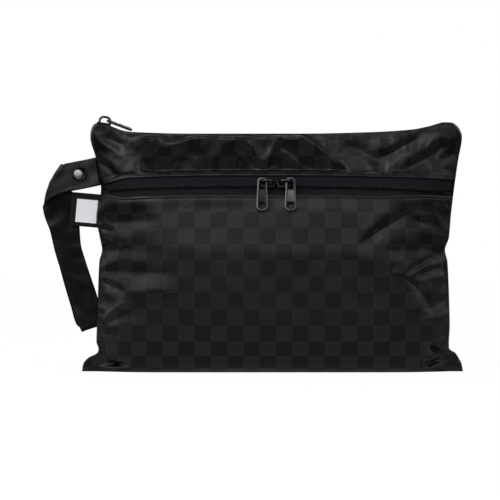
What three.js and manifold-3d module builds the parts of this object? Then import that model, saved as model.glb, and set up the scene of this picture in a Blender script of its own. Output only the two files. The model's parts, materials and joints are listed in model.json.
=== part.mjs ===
// A waterproof travel clutch: a filled zip pouch that stands on its flattened base, with a zipped
// front pocket, a snapped wrist strap and a side label. Millimetres, +Z up, front towards -Y.
// The origin is on the base, in the middle of the bag.
import * as THREE from 'three';
import { mergeVertices } from 'three/addons/utils/BufferGeometryUtils.js';
import Module from 'manifold-3d';

const wasm = await Module();
wasm.setup();

// Cloth and clearances
const WALL = 1.2; // waterproof cloth with its coating and turned edges
const GAP = 0.3; // between neighbouring pieces
const CURVE_STEPS = 6; // straight steps in each curve of a stamped or cut outline
const ROUNDING = 2.3; // how fully the cloth rounds over from the side seam to the flat front
const SEAM_DROP = 4; // the base seam lies this far behind the middle
const SEAM_DROP_HEIGHT = 30; // the seam is back in the middle plane above this height
const SEAM_ROWS = [0, 0.15, 0.3, 0.45, 0.6, 0.75, 0.9, 1]; // shares of that height
const ROOF = 1.5; // the hollow ends this far under the top edge
const SLOPE_STEP = 2; // slopes of the cloth are taken over this distance each way
const MAX_SLOPE = 2; // the wall is measured square to the cloth up to this slope factor

// Side seams seen from the front: the ears at the base, the waist and the top corners
const SIDE_SEAMS = [
  { height: 0, left: -168, right: 168 },
  { height: 6.5, left: -166.8, right: 166.8 },
  { height: 12, left: -162.4, right: 164 },
  { height: 16.5, left: -154, right: 161 },
  { height: 20, left: -153.2, right: 155.5 },
  { height: 26, left: -155, right: 155.3 },
  { height: 40, left: -154.6, right: 156 },
  { height: 66, left: -153.7, right: 155.4 },
  { height: 97, left: -152.4, right: 154 },
  { height: 107, left: -150, right: 151.8 },
  { height: 118, left: -152, right: 155.3 },
  { height: 136, left: -155, right: 156.9 },
  { height: 160, left: -151, right: 159.7 },
  { height: 186, left: -155, right: 163.4 },
  { height: 207, left: -160.4, right: 166.8 },
  { height: 213, left: -159.7, right: 165 },
  { height: 218, left: -157, right: 160.5 },
  { height: 221, left: -152, right: 154 },
];
const EAR_TOP = 20; // below this height the filled body ends at the seams' place here

// Half depth of the filled bag at its middle, and how far in from the seam it is reached
const PROFILE = [
  { height: 0, depth: 19, shoulder: 60 },
  { height: 4, depth: 24.5, shoulder: 62 },
  { height: 10, depth: 28.3, shoulder: 66 },
  { height: 25, depth: 31.6, shoulder: 70 },
  { height: 55, depth: 33, shoulder: 72 },
  { height: 90, depth: 32.4, shoulder: 72 },
  { height: 120, depth: 30.2, shoulder: 68 },
  { height: 150, depth: 26.2, shoulder: 58 },
  { height: 163, depth: 21.3, shoulder: 50 },
  { height: 178, depth: 13.6, shoulder: 38 },
  { height: 192, depth: 10.4, shoulder: 24 },
  { height: 204, depth: 8.6, shoulder: 10 },
  { height: 212, depth: 7.5, shoulder: 4 },
  { height: 224, depth: 7.5, shoulder: 4 },
];

// Top edge along the bag: low in the middle, raised at both corners
const TOP_EDGE = [
  { across: -161, height: 212 },
  { across: -158, height: 217 },
  { across: -155.5, height: 218 },
  { across: -149, height: 217 },
  { across: -142.5, height: 215.9 },
  { across: -136, height: 213.2 },
  { across: -129, height: 211.2 },
  { across: -118, height: 210.2 },
  { across: -72, height: 209 },
  { across: 24, height: 209 },
  { across: 86, height: 210.3 },
  { across: 121, height: 212.5 },
  { across: 139, height: 216 },
  { across: 150, height: 219 },
  { across: 158, height: 218.6 },
  { across: 166, height: 212 },
];

// Middle line of the front zip, which droops towards both side seams
const ZIP_LINE = [
  { across: -156, height: 159.4 },
  { across: -110, height: 162.2 },
  { across: -50, height: 163.5 },
  { across: 40, height: 163.5 },
  { across: 100, height: 162 },
  { across: 165, height: 158 },
];

// Main folds and dents: a ridge where rise is positive, a furrow or dent where it is negative
const FOLDS = [
  { face: 'front', across: -6, height: 193, lean: -65, reach: 20, width: 9, rise: -2.2 },
  { face: 'front', across: 9, height: 194, lean: 58, reach: 18, width: 8, rise: 1.8 },
  { face: 'front', across: 40, height: 195, lean: -36, reach: 24, width: 9, rise: 2.2 },
  { face: 'front', across: 122, height: 199, lean: 17, reach: 32, width: 8, rise: -2.2 },
  { face: 'front', across: 134, height: 188, lean: 32, reach: 32, width: 9, rise: 2.4 },
  { face: 'front', across: -126, height: 144, lean: -8, reach: 32, width: 13, rise: -4.5 },
  { face: 'front', across: -128, height: 122, lean: 5, reach: 28, width: 10, rise: 2.6 },
  { face: 'front', across: -138, height: 75, lean: -29, reach: 16, width: 8, rise: -2.6 },
  { face: 'front', across: -137, height: 59, lean: 46, reach: 18, width: 9, rise: 2.2 },
  { face: 'front', across: 110, height: 85, lean: 0, reach: 13, width: 13, rise: -3 },
  { face: 'front', across: 131, height: 97, lean: 24, reach: 25, width: 9, rise: 2.4 },
  { face: 'front', across: 124, height: 68, lean: -48, reach: 20, width: 9, rise: -2.2 },
  { face: 'front', across: 118, height: 131, lean: 38, reach: 28, width: 11, rise: -2.6 },
  { face: 'back', across: 96, height: 120, lean: -35, reach: 40, width: 14, rise: -3 },
  { face: 'back', across: -92, height: 92, lean: 28, reach: 44, width: 14, rise: -3 },
  { face: 'back', across: 10, height: 186, lean: 4, reach: 70, width: 12, rise: -2.4 },
];
const FOLD_FALL = 1.6; // a fold has sunk to a fifth at its reach or width
const FOLD_FADE = 14; // folds fade out this close to a side seam or the top edge
const BASE_FADE = 12; // and this close to the floor

// Columns across the bag, by distance from each side seam, and rows up it as shares of a height
const SEAM_COLUMNS = [0, 2.5, 6, 11, 17, 24, 33];
const MIDDLE_COLUMNS = 19;
const LOWER_ROWS = [
  0, 0.02, 0.042, 0.078, 0.105, 0.127, 0.165, 0.24, 0.34, 0.44, 0.54, 0.62, 0.668, 0.73, 0.82, 0.91, 1,
];
const UPPER_ROWS = [0.32, 0.54, 0.77, 1];
const FLOOR_SHARES = [0.04, 0.5]; // across the base, from its seam to the front or back edge
const CORNER_HEIGHT = 213; // the columns are spread between the top corners at this height

// Front zip: what shows between the panel edges, and the tape and coil under it
const ZIP_SHOWS = 8.6; // half height of the opening between the panels
const TAPE = 1; // woven tape thickness
const TAPE_REACH = 14; // half width of the whole tape
const TAPE_SPLIT = 0.5; // half of the slit between the two tapes
const COIL_WIDTH = 6;
const COIL_BASE = 0.4; // clear of the curved tape
const COIL_HEIGHT = 2.4;
const COIL_CHAMFER = 1;
const COIL_STEP = 10; // stations along a chain
const CHAIN_END = 8; // the chain stops this far from the side seam
const TAPE_END = 3.5; // and the tape this far
const ZIP_LEFT = -151;
const ZIP_RIGHT = 159;

// Sliders, with +x towards the head where the two tapes part, +z away from the cloth
const SLIDER_LENGTH = 12.6;
const SLIDER_HEAD = 9.4; // width across the shoulders
const SLIDER_TAIL = 7.6;
const SLIDER_PLATE = 1.2;
const SLIDER_FLANGE = 0.8;
const SLIDER_OVERLAP = 0.4; // joined pieces of a slider run into each other this far
const SLIDER_SHOULDER = 4; // the head rounds over this length
const SLIDER_CORNER = 1; // cut off the tail's corners
const POST_AT = 4.2; // the post between the plates, near the head
const POST_LENGTH = 2.4;
const POST_WIDTH = 2.2;
const BAIL_RADIUS = 0.8;
const BAIL_RISE = 5; // clear height under the bail
const BAIL_TAIL = -5.3; // feet of the bail along the slider
const BAIL_HEAD = 3.4;
const FRONT_SLIDERS = { left: -3.9, right: 10.1 };

// Pulls: a stamped tongue with an eye, a sunk panel and a round hole, measured from the eye's end
const PULL = { thick: 1.6, top: 3.5, tip: 26, eyeWidth: 8.6, eyeRound: 2.2, tipWidth: 10.2, tipRound: 4 };
const EYE = { width: 4, top: 1.4, end: 5.6 };
const PULL_PANEL = { width: 5.4, from: 8.4, fromTip: 8.6, depth: 0.4 };
const PULL_HOLE = { fromTip: 4.6, radius: 2.6 };
const PULL_LIFT = 1.8; // the front pulls hang this far off their slider's plate
const PULL_LEAN = 12; // and this many degrees nearer to upright than it

// Main zip along the top edge
const MAIN_RECESS = 2.2; // its tape lies this far under the lips
const MAIN_FLANGE = 6; // the sewn part of the tape, turned down inside the lip
const MAIN_LEFT = -151;
const MAIN_RIGHT = 155;
const MAIN_CHAIN_LEFT = -151.4;
const CORNER_STATIONS = [0, 1.5, 3, 5, 7.5, 11, 16, 24]; // along the zip from each end
const MAIN_SLIDER = { across: -149, slope: 9.2 };
const MAIN_PULL = { along: 3, slope: 20.5, tip: 20.5 };

// Wrist strap: edges of its flat route from the seam to the fold and down to the bottom of the loop.
// Each row gives both edges and the depth of the sewn layer and of the layer that comes back.
const STRAP_THICK = 1.5;
const STRAP_TOP = [
  { upX: -145.5, upZ: 190.4, downX: -142.8, downZ: 165.6, sewn: 0 },
  { upX: -154.4, upZ: 188.6, downX: -151.7, downZ: 163.8, sewn: 0 },
  { upX: -159.7, upZ: 187.5, downX: -157, downZ: 162.7, sewn: 0.7, back: -2.9 },
  { upX: -170.3, upZ: 185.3, downX: -167.7, downZ: 160.5, sewn: 1.6, back: -2.5 },
  { upX: -177.8, upZ: 183.9, downX: -182.6, downZ: 157.4, sewn: 1.6, back: -2.5 },
  { upX: -182.4, upZ: 183, downX: -194.4, downZ: 152.6, sewn: 1.6, back: -2.5 },
  { upX: -184.4, upZ: 182.2, downX: -199.2, downZ: 147.2, sewn: 1.6, back: -2.5 },
];
const STRAP_HANG = [
  { upX: -179, upZ: 171, downX: -201.6, downZ: 144, sewn: 5.6, back: 10 },
  { upX: -173, upZ: 156, downX: -200.3, downZ: 136, sewn: 6, back: 12.5 },
  { upX: -170.6, upZ: 132, downX: -196.6, downZ: 124.5, sewn: 6.5, back: 15.5 },
  { upX: -169.3, upZ: 113, downX: -192.6, downZ: 107.6, sewn: 7.4, back: 18 },
  { upX: -165.4, upZ: 98.5, downX: -187.6, downZ: 91.5, sewn: 8.4, back: 19.6 },
  { upX: -160.3, upZ: 82.6, downX: -182.7, downZ: 74.8, sewn: 9.5, back: 20.6 },
  { upX: -154.9, upZ: 66, downX: -177.3, downZ: 57.6, sewn: 10.8, back: 20.6 },
  { upX: -150.4, upZ: 50.5, downX: -171.6, downZ: 40.6, sewn: 12, back: 19.4 },
];
const FOLD_TURNS = [30, 60, 90, 120, 150]; // degrees round the slant fold
const BOTTOM_TURNS = [-60, -20, 20, 60]; // degrees from straight down round the bottom of the loop
const STRAP_FOLD_BULGE = 1.6; // the fold stands out this far past its slant line
const STRAP_TURN_DROP = 7; // the bottom of the loop hangs this far under the last row
const STRAP_TURN_SHIFT = 3; // and this far towards the bag
const RETURN_SHIFT = -2.8; // the returning layer comes to hang this much further out

// Side label, folded and sewn in the left seam
const LABEL = { left: -177, right: -145.5, bottom: 127, top: 156.5, tilt: -3, thick: 0.9, corner: 1 };
const SEWN_IN = { from: 116, to: 197, fade: 8, thick: 1.7, inward: 13 };

// Snap on the strap
const SNAP = { across: -169.6, height: 173.6, sides: 24 };
const SNAP_CAP = { radius: 6, rim: 0.5, dome: 1.2, domeRadius: 0.75, domeRise: 0.7 };
const SNAP_JOINT = { radius: 3.8 };
const SNAP_BACK = { radius: 5.5, thick: 0.9 };

const clamp = (value, low, high) => Math.min(high, Math.max(low, value));
const mix = (a, b, share) => a + (b - a) * share;
const smooth = (share) => share * share * (3 - 2 * share);
const turn = (degrees) => (degrees * Math.PI) / 180;

// Value of one column of a table, on a smooth line through its rows that never overshoots them
function column(rows, by, name, at) {
  const last = rows.length - 1;
  if (at <= rows[0][by]) return rows[0][name];
  if (at >= rows[last][by]) return rows[last][name];
  const i = rows.findIndex((row) => row[by] > at) - 1;
  const slope = (k) => {
    const chord = (j) => (rows[j + 1][name] - rows[j][name]) / (rows[j + 1][by] - rows[j][by]);
    if (k === 0) return chord(0);
    if (k === last) return chord(last - 1);
    const [before, after] = [chord(k - 1), chord(k)];
    return before * after <= 0 ? 0 : (2 * before * after) / (before + after);
  };
  const span = rows[i + 1][by] - rows[i][by];
  const t = (at - rows[i][by]) / span;
  const bend = t * (1 - t) * span;
  return mix(rows[i][name], rows[i + 1][name], smooth(t)) + bend * ((1 - t) * slope(i) - t * slope(i + 1));
}

const seamAt = (side, height) => column(SIDE_SEAMS, 'height', side, height);
const bodySideAt = (side, height) => seamAt(side, Math.max(height, EAR_TOP));
const topEdgeAt = (across) => column(TOP_EDGE, 'across', 'height', across);
const zipLineAt = (across) => column(ZIP_LINE, 'across', 'height', across);
const middleAt = (height) => SEAM_DROP * (1 - smooth(clamp(height / SEAM_DROP_HEIGHT, 0, 1)));
const seamDistance = (across, height) =>
  Math.min(across - bodySideAt('left', height), bodySideAt('right', height) - across);

// Half of the space between the front and back cloth at a seam, wider where pieces are sewn in
function seamHalfGap(across, height) {
  const inFrom = clamp((height - SEWN_IN.from) / SEWN_IN.fade, 0, 1);
  const inTo = clamp((SEWN_IN.to - height) / SEWN_IN.fade, 0, 1);
  const near = clamp((2 * SEWN_IN.inward + bodySideAt('left', height) - across) / SEWN_IN.inward, 0, 1);
  return GAP / 2 + (SEWN_IN.thick / 2) * smooth(inFrom) * smooth(inTo) * near;
}

// Sum of the folds of one face at a place
function foldsAt(face, across, height) {
  const side = smooth(clamp(seamDistance(across, height) / FOLD_FADE, 0, 1));
  const base = smooth(clamp(height / BASE_FADE, 0, 1));
  const top = smooth(clamp((topEdgeAt(across) - height) / FOLD_FADE, 0, 1));
  let sum = 0;
  for (const fold of FOLDS) {
    if (fold.face !== face) continue;
    const [dx, dz] = [across - fold.across, height - fold.height];
    const [c, s] = [Math.cos(turn(fold.lean)), Math.sin(turn(fold.lean))];
    const along = (dx * c + dz * s) / fold.reach;
    const over = (dz * c - dx * s) / fold.width;
    sum += fold.rise * Math.exp(-FOLD_FALL * (along * along + over * over));
  }
  return sum * side * base * top;
}

// Half depth of one face of the bag, measured from the middle plane
function depthAt(face, across, height) {
  const shoulder = column(PROFILE, 'height', 'shoulder', height);
  const reached = clamp(seamDistance(across, height) / shoulder, 0, 1);
  const swell = 1 - (1 - reached) ** ROUNDING;
  const seam = WALL + seamHalfGap(across, height);
  return seam + (column(PROFILE, 'height', 'depth', height) - seam) * swell + foldsAt(face, across, height);
}

// How much longer the way through the wall is along Y than square to the cloth
function slopeFactor(face, across, height) {
  const step = SLOPE_STEP;
  const byX = (depthAt(face, across + step, height) - depthAt(face, across - step, height)) / (2 * step);
  const byZ = (depthAt(face, across, height + step) - depthAt(face, across, height - step)) / (2 * step);
  return Math.min(MAX_SLOPE, Math.hypot(1, byX, byZ));
}

// Closed mesh from rings of points, side walls between the rings and a strip of faces over each end
function loft(rings) {
  const count = rings[0].length;
  const positions = rings.flat().flatMap((point) => [point.x, point.y, point.z]);
  const index = [];
  const quad = (a, b, c, d) => index.push(a, b, c, a, c, d);
  for (let i = 0; i < rings.length - 1; i += 1) {
    for (let k = 0; k < count; k += 1) {
      const next = (k + 1) % count;
      quad(i * count + k, i * count + next, (i + 1) * count + next, (i + 1) * count + k);
    }
  }
  const far = (rings.length - 1) * count;
  for (let k = 0; k < count / 2 - 1; k += 1) {
    quad(k, count - 1 - k, count - 2 - k, k + 1);
    quad(far + k, far + k + 1, far + count - 2 - k, far + count - 1 - k);
  }
  const geometry = new THREE.BufferGeometry();
  geometry.setAttribute('position', new THREE.Float32BufferAttribute(positions, 3));
  geometry.setIndex(index);
  return geometry;
}

// Solid for joining and cutting, from a closed geometry, turned right side out
function solid(geometry) {
  const plain = geometry.clone();
  plain.deleteAttribute('normal');
  plain.deleteAttribute('uv');
  const merged = mergeVertices(plain, 1e-4);
  const vertProperties = new Float32Array(merged.attributes.position.array);
  const triVerts = new Uint32Array(merged.index.array);
  const made = new wasm.Manifold(new wasm.Mesh({ numProp: 3, vertProperties, triVerts }));
  if (made.volume() > 0) return made;
  const flipped = triVerts.map((value, i) => triVerts[i % 3 === 1 ? i + 1 : i % 3 === 2 ? i - 1 : i]);
  return new wasm.Manifold(new wasm.Mesh({ numProp: 3, vertProperties, triVerts: flipped }));
}

function geometryOf(made) {
  const mesh = made.getMesh();
  const geometry = new THREE.BufferGeometry();
  geometry.setAttribute('position', new THREE.Float32BufferAttribute(mesh.vertProperties, 3));
  geometry.setIndex([...mesh.triVerts]);
  return geometry;
}

const at = (x, y, z) => new THREE.Vector3(x, y, z);
const joined = (pieces) => pieces.map(solid).reduce((sum, piece) => sum.add(piece));
const box = (x0, x1, y0, y1, z0, z1) =>
  new THREE.BoxGeometry(x1 - x0, y1 - y0, z1 - z0).translate((x0 + x1) / 2, (y0 + y1) / 2, (z0 + z1) / 2);

// Flat piece of one outline between two heights
const flat = (outline, from, to) =>
  new THREE.ExtrudeGeometry(outline, { depth: to - from, bevelEnabled: false, curveSegments: CURVE_STEPS })
    .translate(0, 0, from);

// Shares across the bag for the columns of its mesh, close together at the side seams
function columnShares() {
  const width = seamAt('right', EAR_TOP) - seamAt('left', EAR_TOP);
  const near = SEAM_COLUMNS.map((distance) => distance / width);
  const inner = near[near.length - 1];
  const middle = [];
  for (let i = 1; i < MIDDLE_COLUMNS; i += 1) middle.push(mix(inner, 1 - inner, i / MIDDLE_COLUMNS));
  return [...near, ...middle, ...near.map((share) => 1 - share).reverse()];
}

// One column of the bag, from the base seam up the front, over the top and down the back
function bagRing(share, inset) {
  const acrossTop = mix(seamAt('left', CORNER_HEIGHT), seamAt('right', CORNER_HEIGHT), share);
  const zip = zipLineAt(acrossTop);
  const top = topEdgeAt(acrossTop);
  const heights = [
    ...LOWER_ROWS.map((row) => zip * row),
    ...UPPER_ROWS.map((row) => mix(zip, top, row)),
  ];
  const edge = inset > 0 ? inset + 1 : 0;
  const place = (face, sign, height, floorShare) => {
    const raised = inset > 0 ? mix(inset, top - ROOF, height / top) : height;
    const side = inset > 0 ? bodySideAt : seamAt;
    const across = mix(side('left', raised) + edge, side('right', raised) - edge, share);
    const full = depthAt(face, across, raised) - inset * slopeFactor(face, across, raised);
    const depth = Math.max(full, GAP / 2);
    const seam = inset > 0 ? 0 : GAP / 2;
    return at(across, middleAt(raised) + sign * mix(seam, depth, floorShare), raised);
  };
  const face = (name, sign) => [
    ...FLOOR_SHARES.map((floorShare) => place(name, sign, 0, floorShare)),
    ...heights.map((height) => place(name, sign, height, 1)),
  ];
  return [...face('front', -1), ...face('back', 1).reverse()];
}

const bag = (inset) => solid(loft(columnShares().map((share) => bagRing(share, inset))));

// Places across the bag for blocks that follow its edges, close together at the corners
const CORNER = { from: 140, to: 168, step: 2 };
const CLEAR = { side: 215, depth: 90, below: -20, above: 260 }; // past the bag on every side
const ACROSS = [-CLEAR.side];
for (let x = -CORNER.to; x <= -CORNER.from; x += CORNER.step) ACROSS.push(x);
for (let i = 1; i < MIDDLE_COLUMNS; i += 1) ACROSS.push(mix(-CORNER.from, CORNER.from, i / MIDDLE_COLUMNS));
for (let x = CORNER.from; x <= CORNER.to; x += CORNER.step) ACROSS.push(x);
ACROSS.push(CLEAR.side);

// Block between two heights that follow the bag across, and between two depths
function blockAlong(lowAt, highAt, nearAt, farAt) {
  return solid(loft(ACROSS.map((x) => {
    const [low, high] = [lowAt(x), highAt(x)];
    return [at(x, nearAt(x), low), at(x, nearAt(x), high), at(x, farAt(x), high), at(x, farAt(x), low)];
  })));
}

// Everything on one side of the plane that holds the seams
function halfSpace(sign) {
  const rows = [CLEAR.below, ...SEAM_ROWS.map((share) => share * SEAM_DROP_HEIGHT), CLEAR.above];
  const ring = (x) => [
    ...rows.map((z) => at(x, middleAt(z) + (sign * GAP) / 2, z)),
    ...rows.map((z) => at(x, sign * CLEAR.depth, z)).reverse(),
  ];
  return solid(loft([ring(-CLEAR.side), ring(CLEAR.side)]));
}

// Cloth panels
const shell = bag(0).subtract(bag(WALL));
const lipAt = (across) => Math.max(depthAt('front', across, topEdgeAt(across)) - WALL, GAP);
const mainSlot = blockAlong(
  (x) => topEdgeAt(x) - 2 * ROOF,
  () => CLEAR.above,
  (x) => -lipAt(x),
  (x) => lipAt(x),
);
const sewnIn = solid(box(
  -CLEAR.side, seamAt('left', SEWN_IN.to) + SEWN_IN.inward,
  -(GAP + SEWN_IN.thick) / 2, (GAP + SEWN_IN.thick) / 2,
  SEWN_IN.from + SEWN_IN.fade / 2, SEWN_IN.to - SEWN_IN.fade / 2,
));
const openShell = shell.subtract(mainSlot).subtract(sewnIn);
const frontShell = openShell.intersect(halfSpace(-1));
const backPanel = openShell.intersect(halfSpace(1));
const allDepth = [() => -CLEAR.depth, () => CLEAR.depth];
const underZip = blockAlong(() => CLEAR.below, (x) => zipLineAt(x) - ZIP_SHOWS, ...allDepth);
const overZip = blockAlong((x) => zipLineAt(x) + ZIP_SHOWS, () => CLEAR.above, ...allDepth);
const lowerPanel = frontShell.intersect(underZip);
const upperPanel = frontShell.intersect(overZip);

// Front zip: where its tape lies, and the frame of the cloth there
const TAPE_INSET = WALL + GAP;
function zipFrame(across) {
  const height = zipLineAt(across);
  const step = SLOPE_STEP;
  const depthFrom = (dx, dz) => depthAt('front', across + dx, height + dz);
  const slope = (dx, dz) => (depthFrom(dx, dz) - depthFrom(-dx, -dz)) / (2 * step);
  const [bySide, byHeight] = [slope(step, 0), slope(0, step)];
  const depth = depthAt('front', across, height) - TAPE_INSET * slopeFactor('front', across, height);
  return {
    middle: at(across, -depth, height),
    out: at(-bySide, -1, -byHeight).normalize(),
    up: at(0, -byHeight, 1).normalize(),
  };
}

// Coil of a closed zip, as a bar with chamfered top edges, through frames with middle, out and up
function chain(frames) {
  const half = COIL_WIDTH / 2;
  const section = [
    [-half, COIL_BASE], [-half, COIL_HEIGHT - COIL_CHAMFER], [-half + COIL_CHAMFER, COIL_HEIGHT],
    [half - COIL_CHAMFER, COIL_HEIGHT], [half, COIL_HEIGHT - COIL_CHAMFER], [half, COIL_BASE],
  ];
  const rings = frames.map(({ middle, out, up }) =>
    section.map(([over, rise]) => middle.clone().addScaledVector(up, over).addScaledVector(out, rise)));
  return geometryOf(solid(loft(rings)));
}

function stations(from, to) {
  const count = Math.ceil((to - from) / COIL_STEP);
  return Array.from({ length: count + 1 }, (_, i) => mix(from, to, i / count));
}

// Slider, in its own frame: plates above and below the tape, post, flanges and bail
function sliderPlate(from, to) {
  const [head, tail, half] = [SLIDER_HEAD / 2, SLIDER_TAIL / 2, SLIDER_LENGTH / 2];
  const outline = new THREE.Shape();
  outline.moveTo(-half + SLIDER_CORNER, -tail);
  outline.lineTo(half - SLIDER_SHOULDER, -head);
  outline.quadraticCurveTo(half, -head, half, 0);
  outline.quadraticCurveTo(half, head, half - SLIDER_SHOULDER, head);
  outline.lineTo(-half + SLIDER_CORNER, tail);
  outline.lineTo(-half, tail - SLIDER_CORNER);
  outline.lineTo(-half, -tail + SLIDER_CORNER);
  return flat(outline, from, to);
}

const UNDER_PLATE = -TAPE - 2 * GAP;
const OVER_PLATE = COIL_HEIGHT + GAP;
const PLATE_TOP = OVER_PLATE + SLIDER_PLATE;

const rod = (length) => new THREE.CylinderGeometry(BAIL_RADIUS, BAIL_RADIUS, length, 10);

function slider() {
  const half = SLIDER_LENGTH / 2;
  const bailTop = PLATE_TOP + BAIL_RISE + BAIL_RADIUS;
  const legLength = BAIL_RISE + 2 * BAIL_RADIUS + SLIDER_OVERLAP;
  const leg = (x) => rod(legLength).rotateX(turn(90))
    .translate(x, 0, PLATE_TOP - SLIDER_OVERLAP + legLength / 2);
  const flange = (side) => {
    const y = side * (COIL_WIDTH / 2 + GAP + SLIDER_FLANGE / 2);
    const [from, to] = [-half + SLIDER_CORNER, half - SLIDER_SHOULDER];
    return box(from, to, y - SLIDER_FLANGE / 2, y + SLIDER_FLANGE / 2, 2 * GAP, OVER_PLATE + SLIDER_OVERLAP);
  };
  return joined([
    sliderPlate(OVER_PLATE, PLATE_TOP),
    sliderPlate(UNDER_PLATE - SLIDER_PLATE, UNDER_PLATE),
    box(POST_AT - POST_LENGTH / 2, POST_AT + POST_LENGTH / 2, -POST_WIDTH / 2, POST_WIDTH / 2,
      UNDER_PLATE - SLIDER_OVERLAP, OVER_PLATE + SLIDER_OVERLAP),
    flange(-1),
    flange(1),
    leg(BAIL_TAIL),
    leg(BAIL_HEAD),
    rod(BAIL_HEAD - BAIL_TAIL).rotateZ(turn(90)).translate((BAIL_HEAD + BAIL_TAIL) / 2, 0, bailTop),
  ]);
}

const ROOM = 4; // the cut for a post goes right through the tape
const postRoom = () => box(POST_AT - POST_LENGTH / 2 - GAP, POST_AT + POST_LENGTH / 2 + GAP,
  -POST_WIDTH / 2 - GAP, POST_WIDTH / 2 + GAP, -ROOM, ROOM);

// Pull, lying in its XY plane with the eye's upper end at the origin and the tip towards -Y
function pull(length) {
  const [eye, tip] = [PULL.eyeWidth / 2, PULL.tipWidth / 2];
  const outline = new THREE.Shape();
  outline.moveTo(-eye + PULL.eyeRound, PULL.top);
  outline.quadraticCurveTo(-eye, PULL.top, -eye, PULL.top - PULL.eyeRound);
  outline.lineTo(-tip, -length + PULL.tipRound);
  outline.quadraticCurveTo(-tip, -length, -tip + PULL.tipRound, -length);
  outline.lineTo(tip - PULL.tipRound, -length);
  outline.quadraticCurveTo(tip, -length, tip, -length + PULL.tipRound);
  outline.lineTo(eye, PULL.top - PULL.eyeRound);
  outline.quadraticCurveTo(eye, PULL.top, eye - PULL.eyeRound, PULL.top);
  const opening = new THREE.Path();
  opening.absarc(0, EYE.top - EYE.width / 2, EYE.width / 2, 0, Math.PI, false);
  opening.lineTo(-EYE.width / 2, -EYE.end);
  opening.lineTo(EYE.width / 2, -EYE.end);
  const hole = new THREE.Path();
  hole.absarc(0, PULL_HOLE.fromTip - length, PULL_HOLE.radius, 0, 2 * Math.PI, true);
  outline.holes.push(opening, hole);
  const blank = flat(outline, -PULL.thick / 2, PULL.thick / 2);
  const sunk = (side) => {
    const z = (side * PULL.thick) / 2;
    const [wide, deep] = [PULL_PANEL.width / 2, PULL_PANEL.depth];
    return solid(box(-wide, wide, PULL_PANEL.fromTip - length, -PULL_PANEL.from, z - deep, z + deep));
  };
  return solid(blank).subtract(sunk(1)).subtract(sunk(-1));
}

// Frame of a slider on the front zip
function frontFrame(across, turned) {
  const { middle } = zipFrame(across);
  const { out, up } = zipFrame((FRONT_SLIDERS.left + FRONT_SLIDERS.right) / 2);
  const along = at(turned ? -1 : 1, 0, 0);
  const over = up.clone().multiplyScalar(turned ? -1 : 1);
  return new THREE.Matrix4().makeBasis(along, over, out.setX(0).normalize()).setPosition(middle);
}
const leftSlider = frontFrame(FRONT_SLIDERS.left, false);
const rightSlider = frontFrame(FRONT_SLIDERS.right, true);

const tapeShell = bag(TAPE_INSET).subtract(bag(TAPE_INSET + TAPE)).intersect(halfSpace(-1));
function zipTape(from, to) {
  const [low, high] = [Math.min(from, to), Math.max(from, to)];
  const band = blockAlong((x) => zipLineAt(x) + low, (x) => zipLineAt(x) + high, ...allDepth);
  const ends = box(ZIP_LEFT + TAPE_END, ZIP_RIGHT - TAPE_END, -CLEAR.depth, 0, 0, CLEAR.above);
  return [leftSlider, rightSlider].reduce(
    (tape, frame) => tape.subtract(solid(postRoom().applyMatrix4(frame))),
    tapeShell.intersect(band).intersect(solid(ends)),
  );
}

// Main zip: frame of its tape along the top edge
function mainFrame(across) {
  const step = SLOPE_STEP;
  const rise = (topEdgeAt(across + step) - topEdgeAt(across - step)) / (2 * step);
  const out = at(-rise, 0, 1).normalize();
  return { middle: at(across, 0, topEdgeAt(across) - MAIN_RECESS), out, up: at(0, -1, 0) };
}

// Stations along the main zip, close together where the lips draw in at the corners
function mainStations(left) {
  const near = CORNER_STATIONS;
  const inner = near[near.length - 1];
  return [
    ...near.map((distance) => left + distance),
    ...stations(left + inner, MAIN_RIGHT - inner).slice(1, -1),
    ...near.map((distance) => MAIN_RIGHT - distance).reverse(),
  ];
}

// One main tape: flat between the lips, its sewn edge turned down inside the lip
function mainTape(face, sign) {
  const rings = mainStations(MAIN_LEFT).map((across) => {
    const { middle } = mainFrame(across);
    const foot = middle.z - MAIN_FLANGE;
    const least = TAPE_SPLIT + 2 * TAPE;
    const lip = Math.max(lipAt(across) - GAP, least);
    const inside = depthAt(face, across, foot) - (TAPE_INSET + 2 * GAP) * slopeFactor(face, across, foot);
    const sewn = Math.max(inside, least);
    const path = [[TAPE_SPLIT, 0], [lip, 0], [sewn, -MAIN_FLANGE]];
    const under = [[TAPE_SPLIT, -TAPE], [lip - TAPE, -TAPE], [sewn - TAPE, -MAIN_FLANGE]];
    return [...path, ...under.reverse()].map(([over, rise]) => at(across, sign * over, middle.z + rise));
  });
  return solid(loft(rings)).subtract(solid(postRoom().applyMatrix4(mainSliderFrame)));
}

const mainPlace = mainFrame(MAIN_SLIDER.across);
const mainSliderFrame = new THREE.Matrix4()
  .makeRotationY(turn(MAIN_SLIDER.slope))
  .multiply(new THREE.Matrix4().makeRotationZ(Math.PI))
  .setPosition(mainPlace.middle);

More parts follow.
